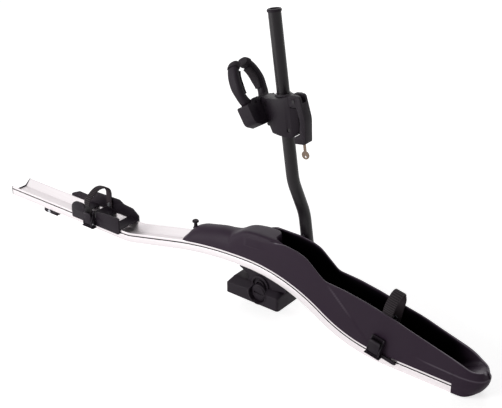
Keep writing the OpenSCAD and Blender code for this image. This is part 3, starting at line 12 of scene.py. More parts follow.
import bmesh
import bpy
import numpy as np
from mathutils import Matrix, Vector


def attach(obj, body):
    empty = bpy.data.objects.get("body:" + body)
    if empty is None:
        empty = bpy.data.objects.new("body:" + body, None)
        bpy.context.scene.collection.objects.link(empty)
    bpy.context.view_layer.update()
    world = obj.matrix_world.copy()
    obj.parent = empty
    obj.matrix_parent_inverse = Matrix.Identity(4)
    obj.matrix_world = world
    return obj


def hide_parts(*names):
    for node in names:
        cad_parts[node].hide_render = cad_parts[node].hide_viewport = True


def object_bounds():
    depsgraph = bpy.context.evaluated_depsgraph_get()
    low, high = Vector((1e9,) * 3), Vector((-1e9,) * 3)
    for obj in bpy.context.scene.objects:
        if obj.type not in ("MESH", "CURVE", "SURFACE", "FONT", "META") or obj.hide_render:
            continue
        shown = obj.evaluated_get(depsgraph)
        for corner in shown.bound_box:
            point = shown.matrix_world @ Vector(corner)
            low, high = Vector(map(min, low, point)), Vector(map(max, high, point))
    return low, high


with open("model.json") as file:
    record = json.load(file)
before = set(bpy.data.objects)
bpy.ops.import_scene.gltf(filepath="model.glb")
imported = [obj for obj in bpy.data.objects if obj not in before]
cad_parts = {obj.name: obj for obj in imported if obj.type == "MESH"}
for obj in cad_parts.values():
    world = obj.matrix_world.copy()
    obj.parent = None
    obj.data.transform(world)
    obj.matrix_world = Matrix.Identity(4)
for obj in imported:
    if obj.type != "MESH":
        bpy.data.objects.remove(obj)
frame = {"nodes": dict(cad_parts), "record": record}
cad_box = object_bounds()
nodes = frame["nodes"]
body_of = {n: body for body, members in frame["record"]["behaviour"]["bodies"].items() for n in members}
slot_of = {part["node"]: part["material_slot"] for part in frame["record"]["subparts"]}
MM = 0.001
print("solids:", len(nodes), "box:", np.round(np.array(cad_box), 3).tolist())

# %% [markdown]
# ## The camera
# The photograph was taken from the front left and above. A camera is fully told by where it stands, two
# angles and its focal length, so the three are written down as measured and its matrix follows from them:
# its columns are the directions right, up and back.

# %% Camera
image_w = 502
focal_px = 1000
camera_at = np.array([1282.2, -1687.5, 1314.8]) * MM
view_turn = math.radians(38.04)
view_drop = math.radians(26.71)

view_right = np.array([math.cos(view_turn), math.sin(view_turn), 0])
view_back = np.array([math.sin(view_turn) * math.cos(view_drop), -math.cos(view_turn) * math.cos(view_drop),
                      math.sin(view_drop)])
view_up = np.cross(view_back, view_right)
lens = bpy.data.cameras.new("photo_lens")
lens.sensor_fit = "HORIZONTAL"
lens.sensor_width = 36
lens.lens = lens.sensor_width * focal_px / image_w
camera = bpy.data.objects.new("photo_camera", lens)
bpy.context.scene.collection.objects.link(camera)
pose = np.eye(4)
pose[:3] = np.stack([view_right, view_up, view_back, camera_at], axis=1)
camera.matrix_world = Matrix(pose.tolist())
bpy.context.scene.camera = camera
print("lens:", round(lens.lens, 1), "mm")

# %% [markdown]
# ## Two helpers for materials
# Colours are easiest to pick as sRGB hex codes, but shaders add light in linear numbers, so one function
# turns the first into the second. A second one adds any shader node, sets its values and links its inputs.

# %% Material helpers
def linear(code):
    """Hex sRGB to linear: a channel c is c / 12.92 below the knee, and ((c + 0.055) / 1.055) ^ 2.4 above it."""
    c = np.array([int(code[i:i + 2], 16) for i in (1, 3, 5)]) / 255
    rgb = np.where(c <= 0.04045, c / 12.92, ((c + 0.055) / 1.055) ** 2.4)
    return (*rgb.tolist(), 1.0)


def add(tree, kind, values=None, links=None):
    """One shader node: values sets sockets or properties by name, links joins its inputs to outputs."""
    made = tree.nodes.new("ShaderNode" + kind)
    for key, value in (values or {}).items():
        if isinstance(key, int) or key in made.inputs:
            made.inputs[key].default_value = value
        else:
            setattr(made, key, value)
    for key, output in (links or {}).items():
        tree.links.new(output, made.inputs[key])
    return made


def blank(name):
    material = bpy.data.materials.new(name)
    material.use_nodes = True
    return material, material.node_tree, material.node_tree.nodes["Principled BSDF"]


# %% [markdown]
# ## Moulded plastic
# The tray, the feet and the clamp are injection moulded in black polypropylene and nylon. Their moulds are
# spark eroded, which leaves a fine grain of about a third of a millimetre. It breaks up the gloss into a soft
# sheen with a slight violet cast, and its pits swallow about half of the gloss of a smooth face. The grain is
# drawn three times coarser so that it shows at this size. A slow cloud varies the tone a little, as handling and
# flow marks do. Two attributes paint light into the colour: a painted shade darkens the deep wheel trough and
# takes its gloss away, and painted highlights lighten the rims, the bowl's end, the nose's ledge and a crease.

# %% Moulded plastic
def moulded_plastic(name, tone, worn, highlight_tone, roughness, sheen, grain_mm, depth_mm):
    """Grain is a bump and a cloud mixes tone and worn; one mark paints shade into the trough, the other paints
    highlights.
    """
    cloud_mm, painted_shade_tone, highlight_roughness = 70, "#040305", 0.28
    material, tree, shader = blank(name)
    place = add(tree, "TexCoord").outputs["Object"]
    hollow = add(tree, "Attribute", {"attribute_name": "hollow"}).outputs["Fac"]
    painted_highlight = add(tree, "Attribute", {"attribute_name": "painted_highlight"}).outputs["Fac"]
    grain = add(tree, "TexNoise", {"Scale": 1 / (grain_mm * MM), "Detail": 3, "Roughness": 0.6}, {"Vector": place})
    cloud = add(tree, "TexNoise", {"Scale": 1 / (cloud_mm * MM), "Detail": 4, "Roughness": 0.55}, {"Vector": place})
    tint = add(tree, "Mix", {"data_type": "RGBA", 6: linear(tone), 7: linear(worn)}, {0: cloud.outputs[0]})
    # Painted shade: the deep trough mixes towards near black, and its gloss is taken away.
    painted_shade = add(tree, "Mix", {"data_type": "RGBA", 7: linear(painted_shade_tone)}, {0: hollow, 6: tint.outputs[2]})
    # Painted highlight: rims and edges mix towards a lighter tone, and are made smoother and glossier.
    highlighted = add(tree, "Mix", {"data_type": "RGBA", 7: linear(highlight_tone)}, {0: painted_highlight, 6: painted_shade.outputs[2]})
    gloss = add(tree, "MapRange", {"From Min": 0.3, "From Max": 0.7, "To Min": roughness - 0.05,
                                   "To Max": roughness + 0.07}, {"Value": cloud.outputs[0]})
    smooth = add(tree, "MapRange", {"To Max": highlight_roughness}, {"Value": painted_highlight, "To Min": gloss.outputs[0]})
    satin = add(tree, "MapRange", {"To Min": sheen, "To Max": 1.0}, {"Value": painted_highlight})
    dull = add(tree, "MapRange", {"To Min": 1.0, "To Max": 0}, {"Value": hollow})
    shine = add(tree, "Math", {"operation": "MULTIPLY"}, {0: satin.outputs[0], 1: dull.outputs[0]})
    bump = add(tree, "Bump", {"Strength": 0.5, "Distance": depth_mm * MM}, {"Height": grain.outputs[0]})
    tree.links.new(highlighted.outputs[2], shader.inputs["Base Color"])
    tree.links.new(smooth.outputs[0], shader.inputs["Roughness"])
    tree.links.new(shine.outputs[0], shader.inputs["Specular IOR Level"])
    tree.links.new(bump.outputs[0], shader.inputs["Normal"])
    shader.inputs["IOR"].default_value = 1.49
    return material


# The third colour of each plastic is the tone of its painted highlights.
grained_polypropylene = moulded_plastic(
    "grained_polypropylene", "#291c2a", "#2f2230", "#665a68", 0.5, 0.16, 1.0, 0.05)
grained_nylon = moulded_plastic("grained_nylon", "#1c161d", "#241d25", "#4a424b", 0.5, 0.16, 0.9, 0.05)
bush_acetal = moulded_plastic("bush_acetal", "#282329", "#302a31", "#4a444b", 0.42, 0.3, 0.8, 0.03)
print("plastics:", grained_polypropylene.name, grained_nylon.name, bush_acetal.name)

# %% [markdown]
# ## Rubber
# Straps, pads and claw tips are moulded in soft rubber. It is a dull, even black with almost no gloss, and a
# dusty, slightly greyer bloom in patches of about 9 mm. Between the straps' ribs, which an attribute marks, a
# painted shade makes it black. Its pores are finer than the render shows, so they are drawn 0.7 mm wide.

# %% Rubber
def moulded_rubber(name, tone, bloom, roughness):
    """Dust patches mix tone and bloom and vary the gloss, pores are a bump, and a painted shade darkens the valleys.
    """
    dust_mm, pore_mm, valley_shade_tone = 9, 0.7, "#080608"
    material, tree, shader = blank(name)
    place = add(tree, "TexCoord").outputs["Object"]
    dust = add(tree, "TexNoise", {"Scale": 1 / (dust_mm * MM), "Detail": 6, "Roughness": 0.7}, {"Vector": place})
    pores = add(tree, "TexNoise", {"Scale": 1 / (pore_mm * MM), "Detail": 2}, {"Vector": place})
    tint = add(tree, "Mix", {"data_type": "RGBA", 6: linear(tone), 7: linear(bloom)}, {0: dust.outputs[0]})
    gloss = add(tree, "MapRange", {"To Min": roughness - 0.08, "To Max": roughness + 0.08},
                {"Value": dust.outputs[0]})
    bump = add(tree, "Bump", {"Strength": 0.35, "Distance": 0.06 * MM}, {"Height": pores.outputs[0]})
    valley_shade = add(tree, "Attribute", {"attribute_name": "hollow"}).outputs["Fac"]
    # Painted shade: the valleys between the straps' ribs mix towards near black.
    ribbed = add(tree, "Mix", {"data_type": "RGBA", 7: linear(valley_shade_tone)}, {0: valley_shade, 6: tint.outputs[2]})
    tree.links.new(ribbed.outputs[2], shader.inputs["Base Color"])
    tree.links.new(gloss.outputs[0], shader.inputs["Roughness"])
    tree.links.new(bump.outputs[0], shader.inputs["Normal"])
    shader.inputs["Specular IOR Level"].default_value = 0.2
    shader.inputs["IOR"].default_value = 1.52
    return material


strap_rubber = moulded_rubber("strap_rubber", "#2f282c", "#3b3338", 0.66)
soft_rubber = moulded_rubber("soft_rubber", "#1b161b", "#272026", 0.7)
print("rubbers:", strap_rubber.name, soft_rubber.name)

# %% [markdown]
# ## Powder coat
# The arm is a steel tube with a baked satin powder coat. Powder flows together in the oven and leaves an orange
# peel of shallow dimples one or two millimetres wide, so its highlights are clear but a little broken.

# %% Powder coat
def powder_coat(name, tone, roughness):
    """Orange peel is a bump, and a slow haze varies the gloss."""
    peel_mm, haze_mm = 1.6, 45
    material, tree, shader = blank(name)
    place = add(tree, "TexCoord").outputs["Object"]
    peel = add(tree, "TexNoise", {"Scale": 1 / (peel_mm * MM), "Detail": 1}, {"Vector": place})
    haze = add(tree, "TexNoise", {"Scale": 1 / (haze_mm * MM), "Detail": 5}, {"Vector": place})
    gloss = add(tree, "MapRange", {"To Min": roughness - 0.07, "To Max": roughness + 0.07},
                {"Value": haze.outputs[0]})
    bump = add(tree, "Bump", {"Strength": 0.25, "Distance": 0.05 * MM}, {"Height": peel.outputs[0]})
    tree.links.new(gloss.outputs[0], shader.inputs["Roughness"])
    tree.links.new(bump.outputs[0], shader.inputs["Normal"])
    shader.inputs["Base Color"].default_value = linear(tone)
    shader.inputs["Specular IOR Level"].default_value = 0.3
    shader.inputs["IOR"].default_value = 1.5
    return material


satin_powder_coat = powder_coat("satin_powder_coat", "#171217", 0.36)
print("coat:", satin_powder_coat.name)

# %% [markdown]
# ## Anodised aluminium
# The rail is pressed through a die, which draws fine lines along its whole length, and is then anodised to a
# pale satin silver. The lines follow the bends, so they read the piece's own attribute: how far along the
# rail a point lies, and how far round its section. They are 0.4 mm apart, drawn at 1.2 mm to show. A second
# attribute marks the side grooves, where a painted shade makes the metal almost black.

# %% Anodised aluminium
def drawn_aluminium(name, tone, bright, groove_shade_tone):
    """Noise stretched along the run is the die's lines; the second mark paints shade into the side grooves."""
    line_l_mm, line_mm = 260, 1.2
    material, tree, shader = blank(name)
    run = add(tree, "Attribute", {"attribute_name": "run"}).outputs["Vector"]
    stretch = add(tree, "Mapping", {"Scale": (1 / (line_l_mm * MM), 1 / (line_mm * MM), 1)}, {"Vector": run})
    lines = add(tree, "TexNoise", {"Scale": 1, "Detail": 5, "Roughness": 0.65}, {"Vector": stretch.outputs[0]})
    tint = add(tree, "Mix", {"data_type": "RGBA", 6: linear(tone), 7: linear(bright)}, {0: lines.outputs[0]})
    groove_shade = add(tree, "Attribute", {"attribute_name": "hollow"}).outputs["Fac"]
    # Painted shade: the side grooves mix towards near black.
    dark = add(tree, "Mix", {"data_type": "RGBA", 7: linear(groove_shade_tone)}, {0: groove_shade, 6: tint.outputs[2]})
    gloss = add(tree, "MapRange", {"To Min": 0.3, "To Max": 0.46}, {"Value": lines.outputs[0]})
    bump = add(tree, "Bump", {"Strength": 0.2, "Distance": 0.02 * MM}, {"Height": lines.outputs[0]})
    tree.links.new(dark.outputs[2], shader.inputs["Base Color"])
    tree.links.new(gloss.outputs[0], shader.inputs["Roughness"])
    tree.links.new(bump.outputs[0], shader.inputs["Normal"])
    shader.inputs["Metallic"].default_value = 1
    return material


satin_aluminium = drawn_aluminium("satin_aluminium", "#dcd6d8", "#ece6e8", "#232026")
print("rail metal:", satin_aluminium.name)

# %% [markdown]
# ## Plated steel
# Bolts, pins and rivets are zinc plated: bright, faintly blue and a little cloudy. The lock and its key are
# nickel plated. Their nickel has gone dull and brownish with weather, and reads as a dark, warm metal. The pins
# and screws of the clamp head sit in recesses and look dark, so they take the arm's black coat: for the pins this
# paints the recesses' shade into their colour. At the end each solid gets the finish of its own slot.

# %% Plated steel
def plated_steel(name, tone, cloudy, roughness):
    """Cloudy patches mix two tones of the plating and vary its gloss."""
    cloud_mm = 4
    material, tree, shader = blank(name)
    place = add(tree, "TexCoord").outputs["Object"]
    cloud = add(tree, "TexNoise", {"Scale": 1 / (cloud_mm * MM), "Detail": 5, "Roughness": 0.6}, {"Vector": place})
    tint = add(tree, "Mix", {"data_type": "RGBA", 6: linear(tone), 7: linear(cloudy)}, {0: cloud.outputs[0]})
    gloss = add(tree, "MapRange", {"To Min": roughness - 0.06, "To Max": roughness + 0.1},
                {"Value": cloud.outputs[0]})
    tree.links.new(tint.outputs[2], shader.inputs["Base Color"])
    tree.links.new(gloss.outputs[0], shader.inputs["Roughness"])
    shader.inputs["Metallic"].default_value = 1
    return material


zinc_plate = plated_steel("zinc_plate", "#aeb2b8", "#c6c9cc", 0.3)
nickel_plate = plated_steel("nickel_plate", "#5e5148", "#7a6b60", 0.3)

FINISH = {
    "anodised_rail": satin_aluminium, "tray_plastic": grained_polypropylene, "moulded_black": grained_nylon,
    "bush_plastic": bush_acetal, "soft_rubber": soft_rubber, "strap_rubber": strap_rubber,
    "black_steel": satin_powder_coat, "zinc_steel": zinc_plate, "lock_metal": nickel_plate,
}
# The clamp head's pins take the black coat: painted shade of their recesses.
slot_of.update(head_screws="black_steel", claw_pins="black_steel", lever_pin="black_steel")
for name, solid in nodes.items():
    solid.data.materials.clear()
    solid.data.materials.append(FINISH[slot_of[name]])
print("finishes:", len(FINISH))

# %% [markdown]
# ## Surfaces on grids
# Every new piece is a grid of points worked out with whole arrays: rows run along the piece, and columns go
# round its section. One function turns such a grid into a closed mesh with its two ends capped, gives it the
# finish of the solid that it stands for, and lets it ride on the same body.

# %% Grid surfaces
def dress(piece, *stands_for):
    """The piece takes the finish of the first solid's slot and its body, and the solids that it replaces are hidden.
    """
    first = stands_for[0]
    bpy.context.scene.collection.objects.link(piece)
    piece.data.materials.append(FINISH[slot_of[first]])
    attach(piece, body_of[first])
    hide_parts(*stands_for)
    return piece


def tidy_normals(mesh, sharp_deg):
    """Faces turn outwards, and only edges that bend more than sharp_deg stay sharp."""
    work = bmesh.new()
    work.from_mesh(mesh)
    bmesh.ops.recalc_face_normals(work, faces=work.faces)
    work.to_mesh(mesh)
    work.free()
    mesh.shade_smooth()
    mesh.set_sharp_from_angle(angle=math.radians(sharp_deg))


def grid_piece(name, points, *stands_for, sharp_deg=40, run=None, hollow=None, painted_highlight=None):
    """Quads between neighbouring rows of a grid of closed rings (rows, columns, 3) in mm, with two end caps."""
    rows, columns = points.shape[:2]
    start = np.arange(rows - 1)[:, None] * columns
    here = np.arange(columns)[None, :]
    after = (here + 1) % columns
    quads = np.stack([start + here, start + after, start + columns + after, start + columns + here], axis=-1)
    last = (rows - 1) * columns
    ends = [list(range(columns))[::-1], list(range(last, last + columns))]
    mesh = bpy.data.meshes.new(name)
    mesh.from_pydata((points.reshape(-1, 3) * MM).tolist(), [], quads.reshape(-1, 4).tolist() + ends)
    if run is not None:
        mesh.attributes.new("run", "FLOAT_VECTOR", "POINT").data.foreach_set("vector", (run * MM).ravel())
    for label, marks in (("hollow", hollow), ("painted_highlight", painted_highlight)):
        if marks is not None:
            mesh.attributes.new(label, "FLOAT", "POINT").data.foreach_set("value", marks.astype(float).ravel())
    tidy_normals(mesh, sharp_deg)
    return dress(bpy.data.objects.new(name, mesh), *stands_for)


def ease(t):
    """Smooth step: 3 t^2 - 2 t^3 between 0 and 1, flat outside."""
    t = np.clip(t, 0, 1)
    return t * t * (3 - 2 * t)


# %% [markdown]
# ## The rail
# The real rail is one straight extrusion that is bent afterwards, so its section never changes. The surface is
# made the same way: a section with small rounded edges is carried along the line of the rail's top edge, which
# is level, climbs, goes over the crest, falls, and ends level. Each bend is an arc of known radius.

# %% Rail line
rail_w, rail_h = 70, 26
rail_rear_x, rail_front_x = -900, 540
rail_rear_top = 41
rear_run_end, rear_bend_r, climb_deg = -450, 150, 13
climb_end_x, crest_x = -265, -25
fall_r, fall_deg, fall_run, dip_r = 420, 31, 10, 320

climb, fall = math.radians(climb_deg), math.radians(fall_deg)
bend_end_x = rear_run_end + rear_bend_r * math.sin(climb)
bend_end_z = rail_rear_top + rear_bend_r * (1 - math.cos(climb))
crest_r = (crest_x - climb_end_x) / math.sin(climb)
crest_z = bend_end_z + (climb_end_x - bend_end_x) * math.tan(climb) + crest_r * (1 - math.cos(climb))
fall_x = crest_x + fall_r * math.sin(fall)
dip_end_x = fall_x + fall_run + dip_r * math.sin(fall)
dip_z = crest_z - (fall_r + dip_r) * (1 - math.cos(fall)) - fall_run * math.tan(fall)


def rail_arc(x, z, r, from_rad, to_rad, count):
    """Points of one bend by its climb angle a: x + r sin a, z + r (1 - cos a); r is negative over a crest."""
    a = np.linspace(from_rad, to_rad, count)
    return np.stack([x + r * np.sin(a), z + r * (1 - np.cos(a)), a], axis=1)


rail_line = np.concatenate([
    [[rail_rear_x, rail_rear_top, 0]],
    rail_arc(rear_run_end, rail_rear_top, rear_bend_r, 0, climb, 14),
    rail_arc(crest_x, crest_z, -crest_r, climb, 0, 24),
    rail_arc(crest_x, crest_z, -fall_r, 0, -fall, 30)[1:],
    rail_arc(dip_end_x, dip_z, dip_r, -fall, 0, 30),
    [[rail_front_x, dip_z, 0]]])


def rail_top(x):
    """Height of the rail's top edge: straight between the points of its line."""
    return np.interp(x, rail_line[:, 0], rail_line[:, 1])


print("crest height:", round(crest_z, 1), "dip height:", round(dip_z, 1))

# %% Rail section
def rounded(corners, radius, steps=4):
    """A closed outline with each corner replaced by the curve (1-t)^2 a + 2t(1-t) b + t^2 c, set back by radius."""
    b = np.asarray(corners, float)
    to_last, to_next = np.roll(b, 1, axis=0) - b, np.roll(b, -1, axis=0) - b
    len_last, len_next = (np.linalg.norm(v, axis=1, keepdims=True) for v in (to_last, to_next))
    back = np.minimum(radius, 0.45 * np.minimum(len_last, len_next))
    a, c = b + to_last / len_last * back, b + to_next / len_next * back
    t = np.linspace(0, 1, steps)[None, :, None]
    curve = (1 - t) ** 2 * a[:, None] + 2 * t * (1 - t) * b[:, None] + t ** 2 * c[:, None]
    return curve.reshape(-1, 2)


rail_half = rail_w / 2
rail_lip_w, rail_floor_w, channel_z = 3, 30, 17
groove_top, groove_low, groove_depth = -5.5, -8.5, 3
slot_mouth, slot_half, slot_lip, slot_h = 5, 9, 2, 4.5
half_section = [
    [rail_floor_w / 2, -channel_z], [rail_half - rail_lip_w, 0], [rail_half, 0], [rail_half, groove_top],
    [rail_half - groove_depth, groove_top], [rail_half - groove_depth, groove_low], [rail_half, groove_low],
    [rail_half, -rail_h], [slot_mouth, -rail_h], [slot_mouth, slot_lip - rail_h], [slot_half, slot_lip - rail_h],
    [slot_half, slot_lip + slot_h - rail_h]]
rail_section = rounded(half_section + [[-y, z] for y, z in half_section[::-1]], 0.7)


def carry(line, section):
    """Section (y, z) carried along a line (x, z, climb): x - z' sin a, y', z + z' cos a."""
    x, z, a = (line[:, i, None] for i in range(3))
    y_in, z_in = section[None, :, 0], section[None, :, 1]
    return np.stack([x - z_in * np.sin(a), np.broadcast_to(y_in, (len(line), len(section))), z + z_in * np.cos(a)],
                    axis=-1)


def run_of(points):
    """How far along, and how far round, each grid point lies."""
    along = np.cumsum(np.r_[0, np.linalg.norm(np.diff(points.mean(axis=1), axis=0), axis=1)])
    around = np.cumsum(np.r_[0, np.linalg.norm(np.diff(points[0], axis=0), axis=1)])
    u, v = np.meshgrid(along, around, indexing="ij")
    return np.stack([u, v, np.zeros_like(u)], axis=-1)


rail_points = carry(rail_line, rail_section)
section_in, section_z = rail_half - np.abs(rail_section[:, 0]), rail_section[:, 1]
in_groove = (section_z < groove_top + 0.1) & (section_z > groove_low - 0.1)
in_groove &= (section_in > 0.3) & (section_in < groove_depth + 0.1)
# The side grooves are marked for painted shade.
rail_groove_shade = np.broadcast_to(in_groove, rail_points.shape[:2])
grid_piece("rail_extrusion", rail_points, "rail", sharp_deg=50, run=run_of(rail_points), hollow=rail_groove_shade)
print("rail rows, columns:", rail_points.shape[:2])

# %% [markdown]
# ## The tray
# The tray is one thin moulding. Behind, it is a low closed dome; over the crest it steps up into a square
# hump; in front of that it is an open trough with rounded rims that closes again at the nose. A single grid
# makes it: each row has a closed arch and an open trough with matching points, and passes from one to the
# other. The opening starts at a slanting edge, further back on the arm's side. At the nose the floor rises to
# the rim like the end of a bowl, and the wall stands back above a low skirt.

# %% Tray outline
tray_rear_x, tray_front_x = -235, 612
tray_half_w, tray_lean, tray_wall, nose_wall = 36.5, 3.5, 3.5, 7
nose_round, nose_lift, nose_rise_l, nose_clear, nose_blunt = 70, 12, 48, 2, 2.5
hump_rise, well_floor, seat_gap, tail_taper, tail_taper_l, tip_half = 73, 4, 0.3, 5, 25, 3
skirt_rear_x, skirt_fade_l, skirt_out, skirt_ahead = 415, 70, 1.0, 2.2
crown_reach, rim_reach = 9, 14
crown_knots = np.array([
    [tray_rear_x, -15], [-216, 12], [-190, 25], [-125, 41], [-84, 46], [-70, 50], [-58, 58], [-44, 66],
    [-28, hump_rise - 3], [0, hump_rise], [90, hump_rise], [124, hump_rise - 5], [148, 60], [200, 18], [255, 14],
    [312, 5], [388, -11.5], [420, -19], [460, -30], [500, -41], [540, -52], [562, -60], [582, -68.5], [600, -70.5],
    [tray_front_x, -72]])
near_square = np.array([[tray_rear_x, 2.2], [-84, 2.4], [-66, 5], [-30, 7], [130, 7], [tray_front_x, 4]])
far_square = np.array([[tray_rear_x, 2.2], [-100, 2.4], [-60, 3], [0, 5], [130, 6], [tray_front_x, 4]])
rim_knots = np.array([[380, tray_half_w - tray_lean], [430, tray_half_w - 1], [537, tray_half_w - 1]])


def eased_knots(knots, x, reach):
    """Straight lines between knots, averaged over five places within reach of x."""
    share = np.array([1, 2, 2, 2, 1]) / 8
    places = np.asarray(x)[..., None] + reach * np.linspace(-1, 1, 5)
    return np.interp(places, knots[:, 0], knots[:, 1]) @ share


def tray_crown(x):
    """Height of the hump's top and of the rims: the crest's height and the eased knots."""
    return crest_z + eased_knots(crown_knots, x, crown_reach)


def blunt(t):
    """Quarter of a blunt ellipse, from 1 at t = 0 to 0 at t = 1: (1 - t^n)^(1/n)."""
    t = np.clip(t, 0, 1)
    return (1 - t ** nose_blunt) ** (1 / nose_blunt)


def tray_base(x):
    """On the rail's top edge, then below the rail's end, where the nose's keel rises as a square."""
    keel = np.clip((x - tray_front_x + nose_rise_l) / nose_rise_l, 0, 1) ** 2
    nose_low = dip_z - rail_h + nose_clear + nose_lift * keel
    return np.where(x > rail_front_x + 1.5 * seat_gap, nose_low, rail_top(x) + seat_gap)


def tray_half(x):
    """Half width of the skirt: even, with a blunt half ellipse at the nose and a slight taper at the tail."""
    tail = np.clip((tray_rear_x + tail_taper_l - x) / tail_taper_l, 0, 1)
    nose = blunt((x - tray_front_x + nose_round) / nose_round)
    return np.maximum(tip_half, tray_half_w * nose - tail_taper * tail * tail)


def rim_half(x):
    """Half width at the rim: even, a little wider over the front run, then a longer blunt half ellipse."""
    swell_x = rim_knots[-1, 0]
    return eased_knots(rim_knots, x, rim_reach) * blunt((x - swell_x) / (tray_front_x - swell_x))


def skirt_step(x):
    """How far the wall above the nose's skirt stands back: skirt_out across, and skirt_ahead along the nose."""
    return (tray_half(x) - tray_half(x + skirt_ahead) + skirt_out) * ease((x - skirt_rear_x) / skirt_fade_l)


print("tray from", tray_rear_x, "to", tray_front_x, "rim height at the nose:", round(float(tray_crown(600)), 1))

# %% [markdown]
# ## The tray's grid
# Every row has the same fourteen steps from the skirt's foot up to the middle line. For a closed row they go
# round an arch. For an open row they are shared out: the outer wall, the rim, the inner wall, its rounded foot
# and the floor. A row in between takes a part of each, so one grid needs no cutting. The marks for the painted
# shade in the trough and the painted highlights on the rims and edges come from the same numbers.

# %% Tray grid
mouth_near_x, mouth_middle_x, mouth_far_x, mouth_drop = 90, 47, 17, 12
bowl_rear_x, bowl_front_x = 522, tray_front_x - nose_wall
rim_set_back, keel_tuck, nose_rear_x, rim_above, keel_below = 5, 15, 545, 18, 36
side_steps, wall_end, rim_end, drop_end, foot_end = 14, 5, 9, 11, 13
well_foot_r, thick_rear_x, thick_l = 12, 430, 150
kink_x, kink_z, crease_across, crease_up = 202, 125, 0.67, 0.74
skirt_knots = np.array([[415, 30], [470, 21.5], [515, 20], [560, 18.5], [615, 17]])


def arch_points(x, k, square_knots):
    """Squared-off arch: y = half cos^e a less the lean, z = base + height sin^e a, with e from the squareness."""
    a = np.pi / 2 * k / side_steps
    e = 2 / np.interp(x, square_knots[:, 0], square_knots[:, 1])
    c, s = np.cos(a).clip(0) ** e, np.sin(a).clip(0) ** e
    y = (tray_half(x) - skirt_step(x)) * c - tray_lean * s * np.cos(a)
    return y.clip(0), tray_base(x) + (tray_crown(x) - tray_base(x)) * s


def trough_points(x, k):
    """Outer wall, half-round rim, inner wall, quarter-round foot and floor, one after the other along k."""
    half, low, sill = tray_half(x) - skirt_step(x), tray_base(x), rail_top(x) + seat_gap
    r = (tray_wall + (nose_wall - tray_wall) * ease((x - thick_rear_x) / thick_l)) / 2
    out_y, rim_z = (rim_half(x) - skirt_step(x)).clip(1), tray_crown(x) - r
    swell_x = rim_knots[-1, 0]
    in_y = (rim_half(np.minimum(x, swell_x)) - 2 * r) * blunt((x - swell_x) / (bowl_front_x - swell_x))
    in_y = np.minimum(in_y, out_y - 0.6).clip(0.2)
    floor_z = sill + well_floor
    floor_z = floor_z + (rim_z - floor_z) * ease((x - bowl_rear_x) / (bowl_front_x - bowl_rear_x))
    turn = np.minimum(well_foot_r, in_y / 2)
    wall, rim = k / wall_end, np.pi * (k - wall_end) / (rim_end - wall_end)
    drop, foot = (k - rim_end) / (drop_end - rim_end), np.pi / 2 * (k - drop_end) / (foot_end - drop_end)
    flat = k - foot_end
    wall_z = low + (rim_z - low) * wall
    turn_z = np.minimum(floor_z + turn, rim_z)
    pick = [k < wall_end, k < rim_end, k < drop_end, k < foot_end]
    flare = np.clip((wall_z - sill) / (rim_z - sill), 0, 1)
    y = np.select(pick, [half + (out_y - half) * flare,
                         (out_y + in_y) / 2 + (out_y - in_y) / 2 * np.cos(rim), in_y + 0 * k,
                         in_y - turn * (1 - np.cos(foot))], (in_y - turn) * (1 - flat))
    z = np.select(pick, [wall_z, rim_z + r * np.sin(rim), rim_z + (turn_z - rim_z) * drop,
                         turn_z + (floor_z - turn_z) * np.sin(foot)], floor_z + 0 * k)
    return y, z


def well_open(x, k, mouth_side_x, wall_rear_x):
    """Share of the trough: its wall forms up to the mouth, and its hollow drops at the mouth's slanting edge."""
    walls = ease((x - wall_rear_x) / (mouth_side_x + 6 - wall_rear_x))
    from_middle = np.clip((side_steps - k) / 5, 0, 1)
    hollow = ease((x - mouth_middle_x - (mouth_side_x - mouth_middle_x) * from_middle) / mouth_drop)
    return (walls + (hollow - walls) * ease((k - 7.5) / 2)) * ease((tray_front_x - 1 - x) / 6)


def skirt_top(x):
    """Height of the ledge on top of the nose's skirt: straight lines between knots."""
    return np.interp(x, skirt_knots[:, 0], skirt_knots[:, 1])


def crease_off(x, z):
    """Distance in front of the slanting crease that runs down the wall from the rim's kink."""
    return (x - kink_x) * crease_across + (z - kink_z) * crease_up


def wall_relief(x, z, k):
    """Shallow steps of the outer wall: the swollen hump side, the crease below the kink, and the nose's skirt."""
    swell = 1.6 * ease((x + 36) / 10) * ease((z - 141 - 0.06 * x) / 5) * (1 - ease((x + 5) / 45))
    panel = -1.4 * ease(crease_off(x, z) / 6 + 0.5) * (1 - ease((x - 300) / 120)) * ease((x - 190) / 14)
    skirt = skirt_step(x) * ease((skirt_top(x) - z) / 3 + 0.5)
    return ((swell + panel) * ease(k / 0.6) + skirt) * ease((6 - k) / 1.5)


def nose_lean(x, z):
    """How far the nose's front leans back: evenly up from the skirt's top, and as a square down to the keel."""
    above = z - skirt_top(x)
    up, down = np.clip(above / rim_above, 0, 1), np.clip(-above / keel_below, 0, 1)
    return (rim_set_back * up + keel_tuck * down ** 2) * ease((x - nose_rear_x) / (tray_front_x - nose_rear_x))


